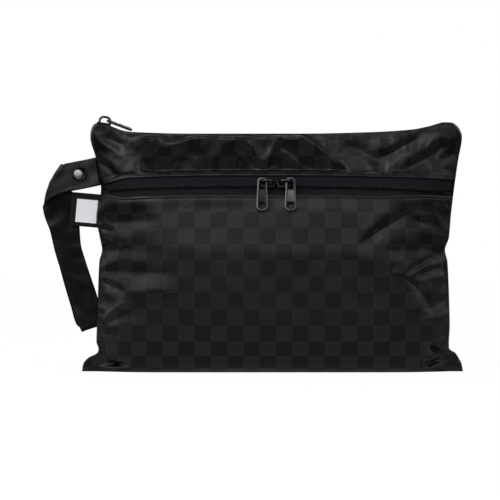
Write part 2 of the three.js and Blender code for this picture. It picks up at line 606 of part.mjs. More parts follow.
// Strap: a flat band whose edges follow the route, folded over the slant line and turned at the bottom
function strap() {
  const stop = (row, depth, shift = 0) => ({
    up: at(row.upX + shift, depth, row.upZ),
    down: at(row.downX + shift, depth, row.downZ),
  });
  const last = STRAP_TOP[STRAP_TOP.length - 1];
  const foldOver = (from, to) => {
    const [radius, middle] = [(to - from) / 2, (to + from) / 2];
    const line = at(last.downX - last.upX, 0, last.downZ - last.upZ).normalize();
    const outward = at(line.z, 0, -line.x);
    return FOLD_TURNS.map((degrees) => {
      const shift = outward.clone().multiplyScalar(STRAP_FOLD_BULGE * Math.sin(turn(degrees)));
      const stopHere = stop(last, middle - radius * Math.cos(turn(degrees)));
      return { up: stopHere.up.add(shift), down: stopHere.down.add(shift) };
    });
  };
  const bottom = STRAP_HANG[STRAP_HANG.length - 1];
  const around = BOTTOM_TURNS.map((degrees) => {
    const middle = (bottom.sewn + bottom.back) / 2;
    const reach = (bottom.back - bottom.sewn) / 2;
    const down = Math.cos(turn(degrees));
    const made = stop(bottom, middle + reach * Math.sin(turn(degrees)), STRAP_TURN_SHIFT * down);
    made.up.z -= STRAP_TURN_DROP * down;
    made.down.z -= STRAP_TURN_DROP * down;
    return made;
  });
  const first = STRAP_HANG[0];
  const returning = STRAP_TOP.filter((row) => row.back !== undefined);
  const stops = [
    ...STRAP_TOP.map((row) => stop(row, row.sewn)),
    ...foldOver(last.sewn, first.sewn),
    ...STRAP_HANG.map((row) => stop(row, row.sewn)),
    ...around,
    ...STRAP_HANG.map((row, i) => stop(row, row.back, RETURN_SHIFT * (i / STRAP_HANG.length))).reverse(),
    ...foldOver(last.back, first.back).reverse(),
    ...returning.map((row) => stop(row, row.back)).reverse(),
  ];
  const side = (i) => {
    const [a, b] = [stops[Math.max(i - 1, 0)], stops[Math.min(i + 1, stops.length - 1)]];
    const forward = b.up.clone().add(b.down).sub(a.up).sub(a.down);
    const wide = stops[i].down.clone().sub(stops[i].up);
    return forward.cross(wide).setLength(STRAP_THICK / 2);
  };
  return geometryOf(solid(loft(stops.map(({ up, down }, i) => {
    const face = side(i);
    return [up.clone().add(face), down.clone().add(face), down.clone().sub(face), up.clone().sub(face)];
  }))));
}

// Label: a folded tag with softened free corners
function label() {
  const [width, height] = [LABEL.right - LABEL.left, LABEL.top - LABEL.bottom];
  const outline = new THREE.Shape();
  outline.moveTo(LABEL.corner, 0);
  outline.lineTo(width, 0);
  outline.lineTo(width, height);
  outline.lineTo(LABEL.corner, height);
  outline.quadraticCurveTo(0, height, 0, height - LABEL.corner);
  outline.lineTo(0, LABEL.corner);
  outline.quadraticCurveTo(0, 0, LABEL.corner, 0);
  return flat(outline, -LABEL.thick / 2, LABEL.thick / 2)
    .rotateZ(turn(LABEL.tilt))
    .rotateX(turn(90))
    .translate(LABEL.left, 0, LABEL.bottom);
}

// Snap: domed cap, the joined halves between the strap's layers, and the flat cap behind
function snapDisc(radius, thick, over = []) {
  const profile = [[0, 0], [radius, 0], [radius, thick], ...over];
  if (over.length === 0) profile.push([0, thick]);
  return new THREE.LatheGeometry(profile.map(([x, y]) => new THREE.Vector2(x, y)), SNAP.sides);
}
function snapCap() {
  const { radius, rim, dome, domeRadius, domeRise } = SNAP_CAP;
  return snapDisc(radius, rim, [[radius * domeRadius, rim + dome * domeRise], [0, rim + dome]]);
}

const MATERIALS = {
  cloth: { color: 0x1e1e1f, roughness: 0.62, metalness: 0 },
  tape: { color: 0x17181a, roughness: 0.85, metalness: 0 },
  coil: { color: 0x1b1b1d, roughness: 0.5, metalness: 0 },
  metal: { color: 0x3c3d40, roughness: 0.32, metalness: 1 },
  strap: { color: 0x202022, roughness: 0.7, metalness: 0 },
  label: { color: 0x111112, roughness: 0.9, metalness: 0 },
  cap: { color: 0x6d6e70, roughness: 0.22, metalness: 1 },
};

function mesh(name, material, geometry, matrix) {
  const made = new THREE.Mesh(geometry, new THREE.MeshStandardMaterial(MATERIALS[material]));
  made.name = name;
  if (matrix) made.applyMatrix4(matrix);
  return made;
}

const clutch = new THREE.Group();
clutch.add(mesh('front_lower_panel', 'cloth', geometryOf(lowerPanel)));
clutch.add(mesh('front_upper_panel', 'cloth', geometryOf(upperPanel)));
clutch.add(mesh('back_panel', 'cloth', geometryOf(backPanel)));

// Front zip with its two sliders and pulls
const postLeft = FRONT_SLIDERS.left + POST_AT - POST_LENGTH / 2 - GAP;
const postRight = FRONT_SLIDERS.right - POST_AT + POST_LENGTH / 2 + GAP;
clutch.add(mesh('front_zip_tape_upper', 'tape', geometryOf(zipTape(TAPE_SPLIT, TAPE_REACH))));
clutch.add(mesh('front_zip_tape_lower', 'tape', geometryOf(zipTape(-TAPE_SPLIT, -TAPE_REACH))));
clutch.add(mesh('front_zip_chain_left', 'coil',
  chain(stations(ZIP_LEFT + CHAIN_END, postLeft).map(zipFrame))));
clutch.add(mesh('front_zip_chain_right', 'coil',
  chain(stations(postRight, ZIP_RIGHT - CHAIN_END).map(zipFrame))));
for (const [side, frame, turned] of [['left', leftSlider, false], ['right', rightSlider, true]]) {
  clutch.add(mesh(`front_slider_${side}`, 'metal', geometryOf(slider()), frame));
  const hang = PLATE_TOP + PULL_LIFT + PULL.thick / 2;
  const upright = turned ? new THREE.Matrix4().makeRotationZ(Math.PI) : new THREE.Matrix4();
  const lean = new THREE.Matrix4().makeRotationX(turn(PULL_LEAN));
  const pivot = new THREE.Matrix4().makeTranslation(BAIL_TAIL, 0, hang).multiply(upright).multiply(lean);
  clutch.add(mesh(`front_pull_${side}`, 'metal', geometryOf(pull(PULL.tip)), frame.clone().multiply(pivot)));
}

// Main zip with its slider and pull
clutch.add(mesh('main_zip_tape_front', 'tape', geometryOf(mainTape('front', -1))));
clutch.add(mesh('main_zip_tape_back', 'tape', geometryOf(mainTape('back', 1))));
clutch.add(mesh('main_zip_chain', 'coil', chain(mainStations(MAIN_CHAIN_LEFT).map(mainFrame))));
clutch.add(mesh('main_slider', 'metal', geometryOf(slider()), mainSliderFrame));

// The main pull's eye bar lies under the bail, at the end towards the middle of the bag
const eyeBar = (PULL.top + EYE.top) / 2;
const mainHinge = at(-MAIN_PULL.along, 0, PLATE_TOP + BAIL_RISE / 2).applyMatrix4(mainSliderFrame);
const mainPullFrame = new THREE.Matrix4().makeTranslation(mainHinge.x, mainHinge.y, mainHinge.z)
  .multiply(new THREE.Matrix4().makeRotationY(turn(MAIN_PULL.slope)))
  .multiply(new THREE.Matrix4().makeRotationZ(turn(90)))
  .multiply(new THREE.Matrix4().makeTranslation(0, -eyeBar, 0));
clutch.add(mesh('main_pull', 'metal', geometryOf(pull(MAIN_PULL.tip)), mainPullFrame));

// Strap, snap and label at the left side
clutch.add(mesh('wrist_strap', 'strap', strap()));
const snapRow = STRAP_TOP.find((row) => row.upX < SNAP.across);
const half = STRAP_THICK / 2;
const snapAt = (depth) => new THREE.Matrix4().makeTranslation(SNAP.across, depth, SNAP.height);
const facingFront = new THREE.Matrix4().makeRotationX(Math.PI);
const between = snapRow.sewn - snapRow.back - STRAP_THICK - 2 * GAP;
clutch.add(mesh('snap_cap', 'cap', snapCap(), snapAt(snapRow.back - half - GAP).multiply(facingFront)));
clutch.add(mesh('snap_joint', 'metal', snapDisc(SNAP_JOINT.radius, between),
  snapAt(snapRow.back + half + GAP)));
clutch.add(mesh('snap_back', 'metal', snapDisc(SNAP_BACK.radius, SNAP_BACK.thick),
  snapAt(snapRow.sewn + half + GAP)));
clutch.add(mesh('side_label', 'label', label()));

export default clutch;
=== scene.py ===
"""Looks of a filled waterproof travel clutch with a zipped front pocket and a snapped wrist strap."""
import json
import math

import bpy
import numpy as np
from mathutils import Matrix, Vector, noise
from mathutils.bvhtree import BVHTree


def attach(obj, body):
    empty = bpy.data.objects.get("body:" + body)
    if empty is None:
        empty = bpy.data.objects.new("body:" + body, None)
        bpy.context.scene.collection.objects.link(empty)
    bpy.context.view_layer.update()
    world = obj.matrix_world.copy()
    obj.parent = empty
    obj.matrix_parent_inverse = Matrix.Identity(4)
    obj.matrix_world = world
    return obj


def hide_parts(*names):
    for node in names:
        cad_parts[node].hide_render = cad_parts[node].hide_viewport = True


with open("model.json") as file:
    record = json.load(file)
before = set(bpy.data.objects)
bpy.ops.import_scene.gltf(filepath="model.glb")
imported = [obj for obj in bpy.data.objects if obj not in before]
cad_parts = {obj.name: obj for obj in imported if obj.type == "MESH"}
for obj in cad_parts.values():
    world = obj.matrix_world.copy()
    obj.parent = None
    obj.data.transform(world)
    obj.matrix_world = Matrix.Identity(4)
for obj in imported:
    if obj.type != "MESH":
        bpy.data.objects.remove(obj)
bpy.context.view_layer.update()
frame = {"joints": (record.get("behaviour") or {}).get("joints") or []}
MM = 0.001

# Sizes in millimetres, most of them those of the CAD model: cloth wall, room between layers, how the front
# rounds off to the seams, the seams' way backwards at the base, and the height of the flat bottom corners
WALL = 1.2
GAP = 0.3
ROUNDING = 2.3
SEAM_DROP, SEAM_DROP_HEIGHT = 4.0, 30.0
EAR_TOP = 20.0

# Tapes and coils of both zips, and the thickness that strap and label add at the left seam
TAPE_INSET = WALL + GAP
TAPE_THICK, TAPE_REACH, TAPE_SPLIT = 1.0, 10.2, 0.5
TAPE_COLUMNS, TAPE_ROWS, TAPE_SIDE_GAP = 300, 15, 0.5
COIL_WIDTH, COIL_BASE, COIL_HEIGHT = 6.0, 0.4, 2.4
ZIP_LEFT, ZIP_RIGHT, ZIP_END_GAP, CHAIN_END = -151.0, 159.0, 0.6, 8.0
CHAIN_PARTS = (-1.2, 7.4)  # where the closed coils end beside the two front sliders
CHAIN_POINTS = 80
SEWN_FROM, SEWN_TO, SEWN_FADE, SEWN_THICK, SEWN_INWARD = 116.0, 197.0, 8.0, 1.7, 13.0

# Half width of the open strip at the front zip, less at its left end, and its change at the right
ZIP_SHOWS, ZIP_NARROWS, ZIP_NARROW_END = 8.6, 4.0, 26.0
ZIP_CHANGE_FROM, ZIP_CHANGE_FADE, ZIP_CHANGE_ABOVE, ZIP_CHANGE_BELOW = 85.0, 65.0, 1.2, -3.8

# At the side seams the cloth turns in over this width, until this half gap is left between front and back
SEAM_TURN, SEAM_GAP = 1.5, 0.04
# Strap and label in the left seam: lowest and highest place, how far each holds it open, and the fade
STRAP_LIP, LABEL_LIP, LIP_FADE = (162, 191.5, 0.76), (124, 157, 0.4), 2

# Sliders and pulls, the parted stretch between the front sliders, and the main zip's place and slopes
SLIDER_LENGTH, SLIDER_HEAD, SLIDER_TAIL, SLIDER_PLATE, SLIDER_FLANGE = 12.6, 9.4, 7.6, 1.2, 0.8
POST_AT, POST_HALF, POST_SIDE, FLANGE_TAIL, FLANGE_HEAD = 4.2, 1.2, 1.1, 1, 4
CAST_INTO = 0.4  # how deep one part of the casting reaches into the next
BAIL_RADIUS, BAIL_RISE, BAIL_TAIL, BAIL_HEAD, BAIL_BEND = 1.1, 4.3, -5.3, 4.0, 3.4
UNDER_PLATE, OVER_PLATE = -TAPE_THICK - 2 * GAP, COIL_HEIGHT + GAP
PLATE_TOP = OVER_PLATE + SLIDER_PLATE
RUBBED_AND_HIGHLIGHT_FROM = PLATE_TOP + 0.5  # only the bail above this is left bright, partly as rubbed plating and partly as a painted highlight; the body below is painted dark, partly as shade
FRONT_TILT, PULL_LEAN, PULL_HANG, PULL_TIP, PULL_RIM = 25.6, 12.0, 6.5, 26.0, 1.1
COIL_WIRE, COIL_START, COIL_HEAD, COIL_PITCH = 0.5, 0.9, 0.5, 2.5
PARTED, PARTED_BY, PARTED_FADE = (-2.6, 8.8), 1.1, 1.5
MAIN_RECESS, MAIN_FLANGE, MAIN_BEND = 2.2, 6.0, 0.4
MAIN_ROWS, MAIN_FLANGE_ROWS = np.linspace(0, 1, 6), (0.06, 0.2, 0.5, 1)
MAIN_LEFT, MAIN_RIGHT, MAIN_CHAIN_LEFT = -151.0, 155.0, -151.4
MAIN_AT, MAIN_SLOPE, MAIN_PULL_SLOPE, MAIN_PULL_ROLL = -149.0, 9.2, 20.5, -8.0
MAIN_TIP, EYE_BAR = 20.2, 2.6

# Hems and stitches; the rows at the front zip and at the top edge run from a place across to another
HEM, HEM_RISE, HEM_SINK = 2.4, 0.25, 0.3
HEM_RIDGE, HEM_RIDGE_WIDE, HEM_SINK_WIDE = 0.5 * HEM, 0.4 * HEM, 0.3 * HEM
STITCH_PITCH, STITCH_LENGTH, STITCH_THICK, TOP_STITCH, LAID_FROM, STITCH_POINTS = 3.0, 2.3, 0.5, 5.0, 8, 240
ZIP_STITCHED, TOP_STITCHED = (-146, 156), (-150, 156)

# Panels: a corner of the checker across and up, where the search for a row's place across begins,
# and how folds fade out at seams, base, hems and top edge; none sinks deeper than a share of the bag's depth
CHECK_CORNER, TOP_CHECK_CORNER, FIRST_HEIGHT = (2.7, 70), (-130, 189), 120
SEAM_FADE, BASE_FADE, DEEPEST = 4, 5, 0.7
HEM_FADE, TOP_FADE = {"lower": 10, "upper": 3}, {"upper": 4, "back": 7}
# Within these distances of side seams, base and hems a panel is held fast while it settles
HELD_SIDE, HELD_BASE, HELD_HEM = 1.5, 3, 1.0
HOLD_LOOSE, HOLD_FULL, HOLD_FULL_FROM, SEAM_SLACK, LEAST_SLACK = 0.03, 0.15, 15, 40.0, 0.04

# Wrist strap: thickness, turns, lean, waves, the hem at its snapped end and the bow of its fold
STRAP_THICK, STRAP_BULGE, STRAP_TURN_DROP, STRAP_TURN_SHIFT, RETURN_SHIFT = 1.5, 0.8, 7.0, 3.0, -2.8
STRAP_LEAN, STRAP_WAVE, STRAP_END, STRAP_END_MORE, STRAP_END_FADE = 0.9, 1.8, 7.5, 0.35, 1.2
STRAP_LAST, STRAP_END_LEANS = (-156.2, 188.2, -152.4, 163.7), (1.4, 0.5, 0.2, 0, 0)
STRAP_BOW, STRAP_BOW_NEAR = 2.8, 16.0
STRAP_LEAN_FADE, STRAP_LEAN_FROM, STRAP_LEAN_RISE = 10, 156, 25
STRAP_STEP, STRAP_WIDTH, STRAP_WAVE_LENGTH, STRAP_WAVES_FROM = 1.5, 26, 14, 30
STRAP_WAVE_ACROSS, STRAP_WAVE_LAYER = 1.4, 3.1
SNAP_CALM, SNAP_CALM_FADE, STRAP_CALM = 6, 8, 0.3
# Rows of stitches before its end, the part of its width they cross, and how deep threads lie in hem and band
STRAP_END_ROWS, STRAP_ROW, IN_HEM, IN_BAND = (1.8, 6.5), np.linspace(0.08, 0.92, 12), 0.05, 0.1
# Across the band from -1 to 1: where its edge rounds off and how thin it is there, the sunk line of stitches,
# its columns, and which of them, counted from either edge, is stitched
STRAP_RIM, STRAP_EDGE, STRAP_DIP_AT, STRAP_DIP_WIDE, STRAP_DIP = 0.9, 0.25, 0.82, 0.05, 0.18
STRAP_COLUMNS = np.array([
    -1, -0.985, -0.95, -0.88, -0.8, -0.65, -0.4, 0, 0.4, 0.65, 0.8, 0.88, 0.95, 0.985, 1])
STITCHED_COLUMN = 4
# Both edges across and up at each stop, depth of the sewn layer and of the layer that comes back
STRAP_TOP = [
    (-145.5, 190.4, -142.8, 165.6, 0, None), (-154.4, 188.6, -151.7, 163.8, 0, None),
    (-159.7, 187.5, -157, 162.7, 0.7, -2.9), (-170.3, 185.3, -167.7, 160.5, 1.6, -2.5),
    (-177.8, 183.9, -182.6, 157.4, 1.6, -2.5), (-182.4, 183, -194.4, 152.6, 1.6, -2.5),
    (-184.4, 182.2, -200.4, 147.8, 1.6, -2.5),
]
STRAP_HANG = [
    (-180.4, 171.4, -202.7, 145, 5.6, 10), (-176.6, 157, -201, 136, 6, 12.5),
    (-170.6, 132, -196.6, 124.5, 6.5, 15.5), (-169.3, 113, -192.6, 107.6, 7.4, 18),
    (-165.4, 98.5, -187.6, 91.5, 8.4, 19.6), (-160.3, 82.6, -182.7, 74.8, 9.5, 20.6),
    (-154.9, 66, -177.3, 57.6, 10.8, 20.6), (-150.4, 50.5, -171.6, 40.6, 12, 19.4),
]

# Side label: left, right, bottom, top, and its white field's middle and half size counted from the seam end
LABEL, LABEL_TILT = (-178.6, -145.5, 128.6, 158.1), -5.0
LABEL_FIELD = (19.2, 13.8, 9.2, 10.2)
LABEL_BEND, LABEL_THICK, LABEL_STEPS, LABEL_FOLD_STEPS = 0.22, 0.35, 24, 7
SNAP, SNAP_BACK, DOME_LEFT = (-169.6, 173.6), 5.5, 10.0

# Height, left seam, right seam
SIDE_SEAMS = [
    (0, -168, 168), (6.5, -166.8, 166.8), (12, -162.4, 164), (16.5, -154, 161),
    (20, -153.2, 155.5), (26, -155, 155.3), (40, -154.6, 156), (66, -153.7, 155.4),
    (97, -152.4, 154), (107, -150, 151.8), (118, -152, 155.3), (136, -155, 156.9),
    (160, -151, 159.7), (186, -155, 163.4), (207, -160.4, 166.8), (213, -159.7, 165),
    (218, -157, 160.5), (221, -152, 154),
]
# Height, half depth, distance from the seam at which it is reached
PROFILE = [
    (0, 19, 60), (4, 24.5, 62), (10, 28.3, 66), (25, 31.6, 70), (55, 33, 72),
    (90, 32.4, 72), (120, 30.2, 68), (150, 26.2, 58), (163, 21.3, 50), (178, 13.6, 38),
    (192, 10.4, 24), (204, 8.6, 10), (212, 7.5, 4), (224, 7.5, 4),
]
# Across, height of the top edge
TOP_EDGE = [
    (-161, 212), (-158, 217), (-155.5, 218), (-149, 217), (-142.5, 215.9), (-136, 213.2),
    (-129, 211.2), (-118, 210.2), (-72, 209), (24, 209), (86, 210.3), (121, 212.5),
    (139, 216), (150, 219), (158, 218.6), (166, 212),
]
# Across, height of the front zip's middle line
ZIP_LINE = [(-156, 159.4), (-110, 162.2), (-50, 163.5), (40, 163.5), (100, 162), (165, 158)]

# The slack cloth between the zips: how far it stands out at a height, and the height of its ridge across
SLUMP = [
    (172, 0), (173.6, -3.2), (175.5, -4.2), (178, -3.2), (181, -2.1), (185, -0.6), (190, 1.1),
    (196, 2.8), (201, 4.1), (204, 4.6), (206, 3.7), (208, 1.1), (209.5, 0),
]
RIDGE = [
    (-125, 206), (-115, 208), (-100, 206), (-87, 200.5), (-72, 204.5), (-61, 208), (-39, 204.5), (-17, 206),
    (20, 206.5), (45, 203), (70, 203),
]
# Ridge and foot of the slack wander up and down at random, each between heights with fades
RIDGE_LEVEL, RIDGE_WANDERS, RIDGE_FROM, RIDGE_FADE = 205, 1.5, 184, 14
FOOT_WANDERS, FOOT_FROM, FOOT_FROM_FADE, FOOT_TO, FOOT_TO_FADE = 3, 172, 4, 196, 16
# It begins at the left and rises unevenly; its right end lies at a place at one height and leans left above
SLUMP_FROM, SLUMP_FADE, SLUMP_RAGGED, SLUMP_UNEVEN = -128.0, 22.0, 14, 0.5
SLUMP_TO, SLUMP_TO_FADE, SLUMP_TO_RAGGED = 47.0, 9.0, 4
SLUMP_TO_SLANT, SLUMP_TO_HEIGHT = -1.2, 195

# Folds of the cloth: face, start across and height, end across and height, sideways bow,
# half width, rise, and the share of it that sinks beside the fold (to the left of its way if positive);
# for a wide fold the last number says instead how much wider it is on that side
FOLDS = [
    ("upper", -21, 202, -9, 181, 0, 3.4, 2.0, -0.6),
    ("upper", 5, 205, -7, 181, 0, 3.4, 2.0, 0.6),
    ("upper", 22, 208, 54, 183, 2, 3.0, 1.2, 0),
    ("upper", 9, 193, 28, 176, 0, 2.5, 1.2, 0),
    ("upper", -141, 176, -110, 176, 0, 9, 1.4, 0.3),
    ("upper", 62, 200, 92, 184, 2, 6, -1.4, 0.4),
    ("upper", 92, 186, 131, 207, -1, 5, -2.6, 0.4),
    ("upper", 112, 174, 160, 203, -1, 6, -3, 0.5),
    ("upper", 148, 185, 163, 194, 0, 4, -1.8, 0.4),
    ("upper", -154, 186, -138, 172, 1, 3, -1.8, 0.5),
    ("upper", -150, 206, -128, 196, 1, 4, -1.6, 0.5),
    ("lower", -120, 108, -30, 105, 2, 14, 0.9, 0.2),
    ("lower", -40, 110, 60, 104, -2, 14, 0.9, 0.2),
    ("lower", 44, 107, 122, 90, 3, 13, 1.0, 0.2),
    ("lower", -166, 134, -98, 133, -1.5, 13, -4.6, 0.35),
    ("lower", -151, 126.5, -136, 122, 0, 3.2, -2.2, 0),
    ("lower", -142, 119, -122, 117, 0, 6, 0.6, 0),
    ("lower", -156, 89, -84, 87, -1, 9, -2.0, -0.2),
    ("lower", -149, 80, -125, 69, -1, 3.4, -2.4, 0),
    ("lower", -144, 69, -84, 73, 0, 9, 1.9, 0.45),
    ("lower", -149, 44, -125, 65, 1, 4.2, 2.2, -0.6),
    ("lower", -150, 34, -124, 28, 2, 5, -0.7, 0.4),
    ("lower", 76, 111, 128, 143, 2, 5.2, -2.4, 0.2),
    ("lower", 99, 107, 116, 103, 0, 4.2, -0.9, 0),
    ("lower", 121, 134, 146, 129, -1, 3.4, -0.8, 0.4),
    ("lower", 116, 86, 153, 103, 3, 3.2, -1.7, -0.5),
    ("lower", 120, 81, 154, 93, 2, 3.2, -1.5, -0.5),
    ("lower", 115, 83, 138, 52, 4, 3.6, -2.0, 0.4),
    ("lower", 104, 89, 116, 83, 0, 5, 0.9, 0),
    ("lower", 150, 104, 153.5, 60, 0.5, 2.4, -2, 0.6),
    ("lower", 128, 44, 154, 50, 1, 5, 0.6, -0.4),
    ("lower", 156, 13, 137, 23, 0.8, 2.5, -9, 0),
    ("lower", 154, 12.5, 134, 6, -0.6, 2.4, -8, 0),
    ("lower", 142, 14, 130, 12.5, 0, 2.5, -3, 0),
    ("lower", -158, 9.6, -129, 6.6, -0.4, 2.3, -8, 0),
    ("lower", -154, 15, -140, 11, 0, 2, -2.4, 0),
    ("lower", -8, 6, -2, 19, 0, 3, 0.7, 0.4),
    ("lower", 5, 6, -1, 19, 0, 3, 0.7, -0.4),
    ("back", 60, 140, 128, 96, 5, 9, -3.2, 0.5),
    ("back", -128, 70, -58, 112, 5, 9, -3, 0.5),
    ("back", -60, 188, 80, 184, 4, 8, -2.4, 0.4),
    ("back", 110, 40, 150, 62, 2, 5, 2.4, -0.5),
    ("back", -150, 130, -112, 142, 2, 5, -2.6, 0.5),
    ("back", -140, 196, -96, 178, 2, 4, 2, -0.6),
    ("back", 96, 178, 150, 200, -2, 5, -2.4, 0.5),
]


def smooth(share):
    share = np.clip(share, 0, 1)
    return share * share * (3 - 2 * share)


def through(rows, column=1):
    """A smooth line through a table's rows that never overshoots them, as a function of the first column."""
    x, y = np.array([(row[0], row[column]) for row in rows], float).T
    chord = np.diff(y) / np.diff(x)
    before, after = chord[:-1], chord[1:]
    both = before + after
    inner = np.where(before * after > 0, 2 * before * after / np.where(both == 0, 1, both), 0)
    slope = np.concatenate([chord[:1], inner, chord[-1:]])

    def read(at):
        at = np.clip(np.asarray(at, float), x[0], x[-1])
        i = np.clip(np.searchsorted(x, at, side="right") - 1, 0, len(x) - 2)
        span = x[i + 1] - x[i]
        t = (at - x[i]) / span
        bend = t * (1 - t) * span * ((1 - t) * slope[i] - t * slope[i + 1])
        return y[i] + (y[i + 1] - y[i]) * t * t * (3 - 2 * t) + bend

    return read


seam_left, seam_right = through(SIDE_SEAMS, 1), through(SIDE_SEAMS, 2)
half_depth, shoulder = through(PROFILE, 1), through(PROFILE, 2)
top_edge, zip_line = through(TOP_EDGE), through(ZIP_LINE)
slump, ridge_height = through(SLUMP), through(RIDGE)


def middle(z):
    """Where the side seams lie, front to back."""
    return SEAM_DROP * (1 - smooth(np.asarray(z) / SEAM_DROP_HEIGHT))


def edge_distance(x, z):
    """Distance across from the nearer side seam."""
    return np.minimum(x - seam_left(z), seam_right(z) - x)


def seam_distance(x, z):
    """The same, counted at the base from where the sides go on below the corners that stick out."""
    return edge_distance(x, np.maximum(z, EAR_TOP))


def plain_depth(x, z):
    """Half depth of the filled bag without its folds."""
    swell = 1 - (1 - np.clip(seam_distance(x, z) / shoulder(z), 0, 1)) ** ROUNDING
    sewn = smooth((z - SEWN_FROM) / SEWN_FADE) * smooth((SEWN_TO - z) / SEWN_FADE)
    near = np.clip((2 * SEWN_INWARD + seam_left(np.maximum(z, EAR_TOP)) - x) / SEWN_INWARD, 0, 1)
    seam = WALL + GAP / 2 + SEWN_THICK / 2 * sewn * near
    return seam + (half_depth(z) - seam) * swell


# How round the top of a fold is, as a share of its half width, and what counts as a wide or a narrow fold
CREASE = 0.45
WIDE, NARROW = 8.0, 2.5
# How steep folds and narrow folds are, how they end, and how wide folds taper and end
STEEP, NARROW_STEEP, ENDS_STEEP, WIDE_TAPERS, WIDE_FULL, WIDE_FADE = 1.5, 1.3, 0.9, 0.7, 0.15, 1.0
# A fold that fans out from a seam: its width there, how it widens, its rise, and where it begins and ends
FAN_NARROW, FAN_WIDENS, FAN_RISE = 0.55, 0.5, 1.25
FAN_BEGINS, FAN_BEGINS_FADE, FAN_ENDS, FAN_ENDS_FADE = -1.15, 0.7, -0.1, 1.2
SINK_AT, SINK_WIDE = 1.7, 1.2  # the hollow beside a fold, in half widths
# Soft dents at random: rise and size of the broad, the middle and the small ones
BROAD_DENTS, MIDDLE_DENTS, SMALL_DENTS = (1.5, 75), (0.8, 34), (0.35, 13)
LAYERS_APART = 7.3  # so far apart in the noise that no two layers of dents look alike
LOOSE_NEAR, LEAST_LOOSE = 60, 0.4  # the cloth is looser within this distance of a side seam

# Short folds at random: heights along the side seams, and two rows between the zips from left to right
PUCKER_SEED, PUCKER_SINK = 11, 0.4
PUCKER_LOW, PUCKER_HIGH = 22.0, 146
PUCKER_ROWS, PUCKER_LEFT, PUCKER_RIGHT = ((173, 187), (195, 208)), -128.0, 150


def small_puckers():
    """Short folds at random along the side seams, the front zip's upper seam and under the top edge."""
    chance = np.random.default_rng(PUCKER_SEED)
    made = []
    for face in ("lower", "back"):
        for seam, inward in ((seam_left, 1), (seam_right, -1)):
            z = PUCKER_LOW
            while z < PUCKER_HIGH:
                start, long = float(seam(z)), chance.uniform(18, 46)
                end = start + inward * long, z + chance.uniform(-16, 16)
                bow, width = chance.uniform(-3, 3), chance.uniform(2.2, 4.5)
                rise = chance.choice([-1, 1]) * chance.uniform(0.1, 0.4)
                made.append((face, start, z, *end, bow, width, rise, PUCKER_SINK))
                z += chance.uniform(10, 24)
    for low, high in PUCKER_ROWS:
        x = PUCKER_LEFT
        while x < PUCKER_RIGHT:
            end = x + chance.uniform(-5, 5), high + chance.uniform(-6, 1)
            width = chance.uniform(1.8, 3.2)
            rise = chance.choice([-1, 1]) * chance.uniform(0.25, 0.65)
            made.append(("upper", x, low, *end, 0, width, rise, PUCKER_SINK))
            x += chance.uniform(6, 12)
    return made


def crumple(x, z, scale, layer):
    """Low soft dents at random, from -1 to 1."""
    places = zip(np.ravel(x) / scale, np.ravel(z) / scale)
    return np.array([noise.noise((a, b, LAYERS_APART * layer)) for a, b in places]).reshape(np.shape(x))


def folds(face, x, z):
    """Rise of one panel's folds over its plain shape."""
    total = np.zeros(np.broadcast(x, z).shape)
    for name, x0, z0, x1, z1, bow, width, rise, sink in FOLDS + PUCKERS:
        if name != face:
            continue
        way = np.array([x1 - x0, z1 - z0], float)
        length = np.hypot(*way)
        way /= length
        dx, dz = x - (x0 + x1) / 2, z - (z0 + z1) / 2
        along = (dx * way[0] + dz * way[1]) / (length / 2)
        wide, narrow = width >= WIDE, width <= NARROW
        fans = face != "upper" and not wide and not narrow
        if fans:  # narrow where it starts at a seam, wider and lower further in
            width, rise = width * (FAN_NARROW + FAN_WIDENS * np.clip(along + 1, 0, 2)), FAN_RISE * rise
        off = (dz * way[0] - dx * way[1] - bow * (1 - along ** 2)) / width
        if wide:
            off = off * (1 + WIDE_TAPERS * along ** 2) / (1 + sink * np.sign(off))
        if narrow:
            ridge = np.exp(-NARROW_STEEP * off ** 2)
        else:
            ridge = np.exp(-STEEP * (np.sqrt(off ** 2 + CREASE ** 2) - CREASE))
        if sink and not wide:
            ridge = ridge - abs(sink) * np.exp(-((off - SINK_AT * np.sign(sink)) / SINK_WIDE) ** 2)
        if fans:
            begins = smooth((along - FAN_BEGINS) / FAN_BEGINS_FADE)
            ends = begins * (1 - smooth((along - FAN_ENDS) / FAN_ENDS_FADE))
        elif wide and face != "upper":
            ends = 1 - smooth((np.abs(along) - WIDE_FULL) / WIDE_FADE)
        else:
            ends = np.exp(-ENDS_STEEP * along ** 4)
        total += rise * ridge * ends
    taut = 0 if face == "upper" else smooth(seam_distance(x, z) / LOOSE_NEAR)
    loose = LEAST_LOOSE + (1 - LEAST_LOOSE) * (1 - taut)
    layer = ("lower", "upper", "back").index(face)
    broad = 0 if face == "upper" else BROAD_DENTS[0] * crumple(x, z, BROAD_DENTS[1], layer + 9)
    dents = MIDDLE_DENTS[0] * crumple(x, z, MIDDLE_DENTS[1], layer)
    dents += SMALL_DENTS[0] * crumple(x, z, SMALL_DENTS[1], layer + 5)
    return total + broad + loose * dents


PUCKERS = small_puckers()


# Camera, straight at the front from far away, framed as the photograph is: real size of a pixel,
# width of the picture in pixels, and the column and the row where the middle of the base lies
PIXEL, PICTURE = 0.88 * MM, 500
BASE_COLUMN, BASE_ROW = 272.5, 371.5
AWAY = 2.0
camera = bpy.data.objects.new("camera", bpy.data.cameras.new("camera"))
bpy.context.scene.collection.objects.link(camera)
camera.location = ((PICTURE / 2 - BASE_COLUMN) * PIXEL, -AWAY, (BASE_ROW - PICTURE / 2) * PIXEL)
camera.rotation_euler = (math.radians(90), 0, 0)
camera.data.lens = camera.data.sensor_width * AWAY / (PICTURE * PIXEL)
bpy.context.scene.camera = camera


# Materials
def linear(hex_colour):
    """Linear colour from an sRGB hex value."""
    parts = [int(hex_colour[i:i + 2], 16) / 255 for i in (1, 3, 5)]
    return [p / 12.92 if p <= 0.04045 else ((p + 0.055) / 1.055) ** 2.4 for p in parts] + [1.0]


